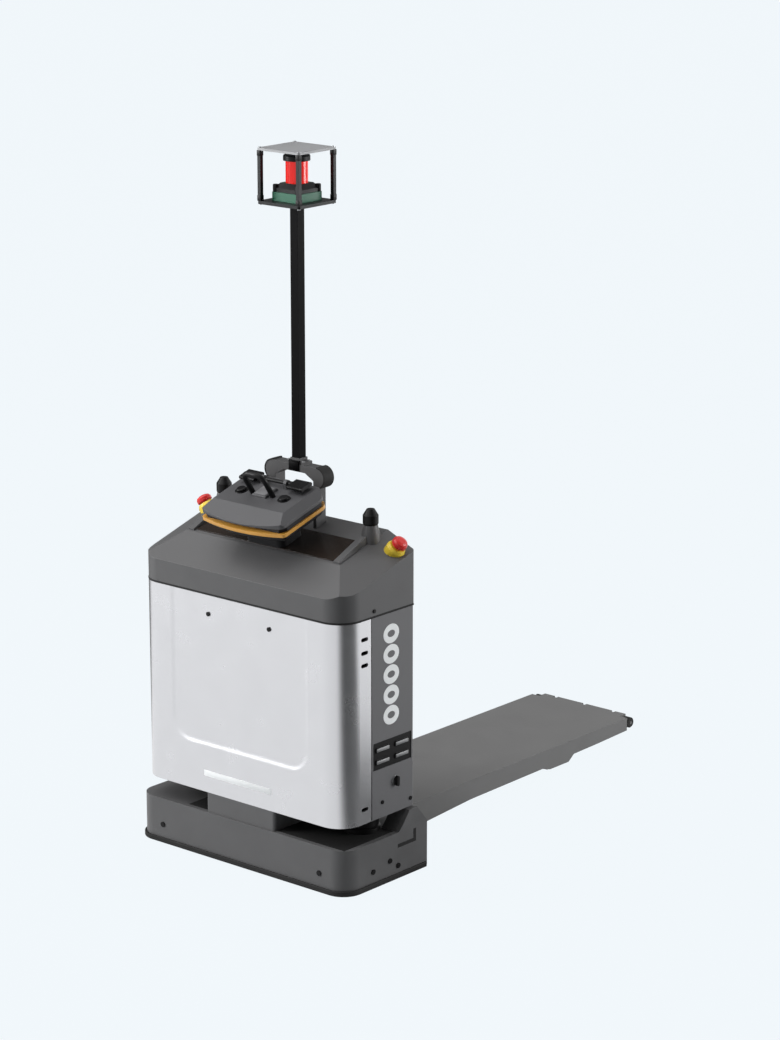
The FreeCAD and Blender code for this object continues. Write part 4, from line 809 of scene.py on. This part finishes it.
@dataclass(frozen=True)
class ConsoleTrim:
    """Pad plate and button rings of the tilted control head, and the aerials' sleeves.

    Attributes:
        top: the head's top, over the console.
        pad_half: half the width of the pad plate.
        pad_reach: front and back edge of the pad plate.
        pad_rise: lower and upper face of the pad plate, over the head's top.
        button_place: place of the two buttons to each side.
        button_ahead: place of the buttons along the console.
        ring_radius: radius of a button ring's middle line.
        aerial_foot: foot of the right aerial, on the machine.
        aerial_radius: radius of an aerial's lower part.
    """

    top: float = 128.0
    pad_half: float = 19.0
    pad_reach: tuple[float, float] = (32.0, 72.0)
    pad_rise: tuple[float, float] = (6.8, 8.2)
    button_place: float = 72.0
    button_ahead: float = 43.0
    ring_radius: float = 15.6
    aerial_foot: Triple = (250.0, -503.0, 875.2)
    aerial_radius: float = 16.0

    def build(self) -> None:
        """Builds every piece of the group."""
        tilted = Matrix.Translation(CONSOLE_ORIGIN / MM) @ Matrix.Rotation(CONSOLE_TILT, 4, "X")
        plate = Drawing("pad_plate", Finishes.PAD, Slot.HEAD_GREY, tilted)
        plate.block((-self.pad_half, self.pad_reach[0], self.top + self.pad_rise[0]),
                    (self.pad_half, self.pad_reach[1], self.top + self.pad_rise[1]), 0.6)
        plate.done()
        rings = Drawing("button_rings", Finishes.BLACK_PLASTIC, Slot.BLACK_PLASTIC, tilted)
        for side in SIDES:
            centre = Vector((side * self.button_place, self.button_ahead, self.top))
            rings.sweep(arc_path(centre, RIGHT, BACK, (self.ring_radius,) * 2, full_turn(36)),
                        [(-1.8, -0.3), (2.2, -0.3), (1.2, 1.6), (-1.0, 1.6)], UP, closed=True)
        rings.done()
        sleeves = Drawing("aerial_sleeves", Finishes.CAP, Slot.CAP_GREY)
        place, back, foot = self.aerial_foot
        for side in SIDES:
            sleeves.sweep(arc_path(Vector((side * place, back, foot)), RIGHT, BACK,
                                   (self.aerial_radius,) * 2, full_turn(32)),
                          [(-1, -8), (9, -8), (8, 14), (1.0, 42), (-1, 42)], UP, closed=True)
        sleeves.done()


@dataclass(frozen=True)
class MastTrim:
    """Clamp at the mast's foot, corner joints of the cage and fittings of the sensor.

    Attributes:
        place: the mast's middle, along the machine.
        bridge_top: top of the bridge that carries the mast.
        bridge_depth: depth of the bridge.
        clamp_half: half the width of the clamp on the bridge.
        shoulder_place: middle of the bridge's round shoulders, to each side.
        shoulder_radius: radius of the shoulders.
        shoulder_arc: first and last angle of the painted shade bands on them, in degrees.
        cage_seat: floor of the sensor cage.
        cage_high: underside of the cage's roof plate.
        post: place of the cage's posts, to each side.
        window: radius of the sensor's window.
        pillar_turn: where the pillar stands round the window, in degrees.
        hood_half: half the width of the opening in the sensor's hood.
        knob_place: place of the knobs on the sensor's base, to each side.
    """

    place: float = -491.0
    bridge_top: float = 1029.0
    bridge_depth: float = 36.0
    clamp_half: float = 17.0
    shoulder_place: float = 74.0
    shoulder_radius: float = 25.0
    shoulder_arc: tuple[float, float] = (-84.0, 90.0)
    cage_seat: float = 1700.0
    cage_high: float = 1832.0
    post: float = 64.0
    window: float = 28.0
    pillar_turn: float = 52.0
    hood_half: float = 28.8
    knob_place: float = 37.0

    def build(self) -> None:
        """Builds every piece of the group."""
        self.clamp()
        self.edge_shade()
        self.joints()
        self.sensor()

    def clamp(self) -> None:
        """Plate that clamps the mast's foot to the bridge."""
        piece = Drawing("mast_clamp", Finishes.MAST, Slot.MAST_BLACK)
        face, half, top = self.place - self.bridge_depth / 2, self.clamp_half, self.bridge_top
        piece.block((-half, face - 3, top - 17), (half, face, top + 9), 0.8)
        piece.block((-half, face - 3, top + 7), (half, face + 6, top + 10), 0.8)
        piece.done()

    def edge_shade(self) -> None:
        """Black bands in a rubber finish over the bridge's round shoulders: painted shade on their
        thick outer edge, where shadow falls.
        """
        piece = Drawing("shoulder_edge_shade", Finishes.RUBBER, Slot.BLACK_RUBBER)
        start, end = self.shoulder_arc
        steps = 18
        angles = [math.radians(start + (end - start) * step / steps) for step in range(steps + 1)]
        edge = self.bridge_depth / 2 + 0.6
        for side in SIDES:
            centre = Vector((side * self.shoulder_place, self.place,
                             self.bridge_top - self.shoulder_radius))
            piece.sweep(arc_path(centre, RIGHT * side, UP, (self.shoulder_radius,) * 2, angles),
                        [(-0.5, -edge), (3.2, -edge), (3.6, 0), (3.2, edge), (-0.5, edge)], BACK)
        piece.done()

    def joints(self) -> None:
        """Moulded joints at both ends of the cage's posts."""
        piece = Drawing("cage_joints", Finishes.BLACK_PLASTIC, Slot.BLACK_PLASTIC)
        half, height = 6, 14
        for x in (-self.post, self.post):
            for y in (self.place - self.post, self.place + self.post):
                for low in (self.cage_seat, self.cage_high - 20):
                    piece.block((x - half, y - half, low), (x + half, y + half, low + height), 0.8)
        piece.done()

    def sensor(self) -> None:
        """Dark pillar beside the sensor's window, hood and knobs on its base."""
        seat, middle = self.cage_seat, Vector((0.0, self.place, 0.0))
        pillar = Drawing("sensor_pillar", Finishes.BLACK_PLASTIC, Slot.BLACK_PLASTIC,
                         Matrix.Translation(middle)
                         @ Matrix.Rotation(math.radians(self.pillar_turn), 4, "Z"))
        pillar.block((-7, -self.window - 1.5, seat + 43), (7, -self.window + 2, seat + 101), 0.8)
        pillar.done()
        hood = Drawing("sensor_hood", Finishes.BLACK_COAT, Slot.BLACK_STEEL)
        corners = [RIGHT * x + BACK * y for x, y in ((1, 1), (-1, 1), (-1, -1), (1, -1))]
        hood.sweep([(middle + UP * seat + way * self.hood_half, way) for way in corners],
                   [(-1.6, 43.2), (0, 44.6), (13.0, 31.6), (13.0, 22.6), (12.0, 22.6),
                    (12.0, 31.0)], UP, closed=True)
        hood.done()
        knobs = Drawing("sensor_knobs", Finishes.BLACK_PLASTIC, Slot.BLACK_PLASTIC)
        for x in (-self.knob_place, self.knob_place):
            for y in (self.place - self.knob_place, self.place + self.knob_place):
                knobs.disc((x, y, seat + 21), 7.5, 20, UP, 2.0)
        knobs.done()


# ------------------------------------------------------------------ studio
@dataclass(frozen=True)
class Softbox:
    """A square soft light.

    Attributes:
        name: name of the light.
        spot: where it stands, in metres.
        size: its side, in metres.
        power: its power, in watts.
    """

    name: str
    spot: Triple
    size: float
    power: float


@dataclass(frozen=True)
class Studio:
    """Camera, soft lights, pale floor and world, in metres.

    Attributes:
        spot: where the camera stands.
        target: where it looks.
        lens: its focal length, in millimetres.
        sensor: width of its sensor, in millimetres.
        backdrop: sRGB hex colour behind the machine.
        softboxes: the lights.
        light_target: where the lights aim.
        fill: strength of the plain light from all around.
        fill_tint: its colour.
        room_tint: colour of the room in reflections.
        room: the room's brightness in reflections.
        flag_way: direction of the dark flags to the right front and the left back.
        flag_dark: brightness of a flag.
        flag_edge: how far a direction agrees with the flags where they start and are darkest.
        floor_size: how far the floor reaches to each side.
        floor_seen: sRGB hex colour that the floor shows, a step paler than the backdrop to make
            up for the lit floor's share.
        floor_share: share of that colour in the floor's look; the rest keeps the shadow.
    """

    spot: Triple = (5.4421, -6.5106, 3.0332)
    target: Triple = (0.3688, -0.568, 0.9584)
    lens: float = 114.23
    sensor: float = 36.0
    backdrop: str = "#f1f7fb"
    softboxes: tuple[Softbox, ...] = (
        Softbox("key_light", (-4.8, -4.4, 2.3), 2.6, 330.0),
        Softbox("side_light", (4.4, 3.4, 1.9), 2.6, 215.0),
        Softbox("top_light", (-1.4, -1.8, 5.2), 6.0, 230.0))
    light_target: Triple = (0.0, -0.3, 0.6)
    fill: float = 0.15
    fill_tint: Colour = (1.0, 0.99, 0.98, 1.0)
    room_tint: Colour = (0.99, 0.99, 1.0, 1.0)
    room: float = 0.92
    flag_way: Triple = (0.93, -0.36, 0.0)
    flag_dark: float = 0.05
    flag_edge: tuple[float, float] = (0.72, 0.94)
    floor_size: float = 60.0
    floor_seen: str = "#f2f8fc"
    floor_share: float = 0.985

    def build(self) -> None:
        """Sets up the whole studio."""
        bpy.context.scene.view_settings.view_transform = "Standard"
        self.camera()
        for softbox in self.softboxes:
            self.lamp(softbox)
        self.world()
        self.floor()

    def stand(self, name: str, data: bpy.types.ID, spot: Triple, target: Triple
              ) -> bpy.types.Object:
        """Stands a camera or a light in the scene.

        Args:
            name: name of the object.
            data: the camera or the light.
            spot: where it stands.
            target: where its -Z axis points.

        Returns:
            The new object.
        """
        made = bpy.data.objects.new(name, data)
        bpy.context.scene.collection.objects.link(made)
        made.location = spot
        way = Vector(target) - Vector(spot)
        made.rotation_euler = way.to_track_quat("-Z", "Y").to_euler()
        return made

    def camera(self) -> None:
        """Adds the camera and makes it the scene's own."""
        lens = bpy.data.cameras.new("view_camera")
        lens.lens = self.lens
        lens.sensor_width = self.sensor
        lens.clip_end = 200.0
        bpy.context.scene.camera = self.stand("view_camera", lens, self.spot, self.target)

    def lamp(self, softbox: Softbox) -> None:
        """Adds one light, aimed at the machine's middle.

        Args:
            softbox: the light.
        """
        light = bpy.data.lights.new(softbox.name, "AREA")
        light.size = softbox.size
        light.energy = softbox.power
        self.stand(softbox.name, light, softbox.spot, self.light_target)

    def reflected(self, tree: bpy.types.NodeTree, way: bpy.types.NodeSocket
                  ) -> bpy.types.NodeSocket:
        """Brightness of the room in reflections, with its two dark flags.

        Args:
            tree: node tree of the world or the floor.
            way: the direction or place that a reflection meets.

        Returns:
            Socket with the brightness there.
        """
        level = add_node(tree, "VectorMath", {"operation": "MULTIPLY"}, {
            0: way, 1: (1.0, 1.0, 0.0)})
        unit = add_node(tree, "VectorMath", {"operation": "NORMALIZE"}, {0: level.outputs[0]})
        facing = add_node(tree, "VectorMath", {"operation": "DOT_PRODUCT"}, {
            0: unit.outputs[0], 1: self.flag_way})
        both = add_node(tree, "Math", {"operation": "ABSOLUTE"}, {0: facing.outputs["Value"]})
        start, full = self.flag_edge
        shade = add_node(tree, "MapRange", {"interpolation_type": "SMOOTHSTEP"}, {
            "Value": both.outputs["Value"], "From Min": start, "From Max": full,
            "To Min": self.room, "To Max": self.flag_dark})
        return shade.outputs["Result"]

    def world(self) -> None:
        """Pale world for the lens and for reflections, plain grey light for the rest."""
        world = bpy.data.worlds.new("studio")
        bpy.context.scene.world = world
        world.use_nodes = True
        tree = world.node_tree
        tree.nodes.clear()
        path = add_node(tree, "LightPath")
        shown = add_node(tree, "Math", {"operation": "MAXIMUM"}, {
            0: path.outputs["Is Camera Ray"], 1: path.outputs["Is Transmission Ray"]})
        fill = add_node(tree, "Background", {}, {"Color": self.fill_tint, "Strength": self.fill})
        seen = add_node(tree, "Background", {}, {"Color": linear(self.backdrop), "Strength": 1.0})
        way = add_node(tree, "TexCoord").outputs["Generated"]
        room = add_node(tree, "Background", {}, {
            "Color": self.room_tint, "Strength": self.reflected(tree, way)})
        lit = add_node(tree, "MixShader", {}, {
            0: path.outputs["Is Glossy Ray"], 1: fill.outputs[0], 2: room.outputs[0]})
        mixed = add_node(tree, "MixShader", {}, {
            0: shown.outputs["Value"], 1: lit.outputs[0], 2: seen.outputs[0]})
        add_node(tree, "OutputWorld", {}, {"Surface": mixed.outputs[0]})

    def floor(self) -> None:
        """Wide plain floor that shows about the backdrop's colour and keeps a faint shadow."""
        shape = bmesh.new()
        bmesh.ops.create_grid(shape, x_segments=1, y_segments=1, size=self.floor_size)
        mesh = bpy.data.meshes.new("floor")
        shape.to_mesh(mesh)
        shape.free()
        made = bpy.data.objects.new("floor", mesh)
        bpy.context.scene.collection.objects.link(made)
        paint = bpy.data.materials.new("matt_emulsion_pale")
        paint.use_nodes = True
        tree = paint.node_tree
        tree.nodes.clear()
        path = add_node(tree, "LightPath")
        matt = add_node(tree, "BsdfDiffuse", {}, {"Color": linear("#b4b8ba")})
        glow = add_node(tree, "Emission", {}, {"Color": linear(self.floor_seen), "Strength": 1.0})
        place = add_node(tree, "NewGeometry").outputs["Position"]
        room = add_node(tree, "Emission", {}, {
            "Color": self.room_tint, "Strength": self.reflected(tree, place)})
        shown = add_node(tree, "Math", {"operation": "MAXIMUM"}, {
            0: path.outputs["Is Camera Ray"], 1: path.outputs["Is Transmission Ray"]})
        part = add_node(tree, "Math", {"operation": "MULTIPLY"}, {
            0: shown.outputs["Value"], 1: self.floor_share})
        lit = add_node(tree, "MixShader", {}, {
            0: path.outputs["Is Glossy Ray"], 1: matt.outputs[0], 2: room.outputs[0]})
        mixed = add_node(tree, "MixShader", {}, {
            0: part.outputs["Value"], 1: lit.outputs[0], 2: glow.outputs[0]})
        add_node(tree, "OutputMaterial", {}, {"Surface": mixed.outputs[0]})
        mesh.materials.append(paint)


def dress_nodes(nodes: dict[str, bpy.types.Object]) -> None:
    """Gives every CAD node its finish.

    Args:
        nodes: the frame's nodes by name.
    """
    for name, made in nodes.items():
        finish = NODE_FINISHES[name].material()
        if not made.material_slots:
            made.data.materials.append(finish)
        for place in made.material_slots:
            place.material = finish
        LOG.info("finish %s on %s", finish.name, name)


def main() -> None:
    """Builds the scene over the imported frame."""
    logging.basicConfig(level=logging.INFO, format="%(message)s")
    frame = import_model()
    dress_nodes(frame["nodes"])
    for group in (CoverTrim(), ConsoleTrim(), MastTrim()):
        group.build()
    Studio().build()


if __name__ == "__main__":
    main()
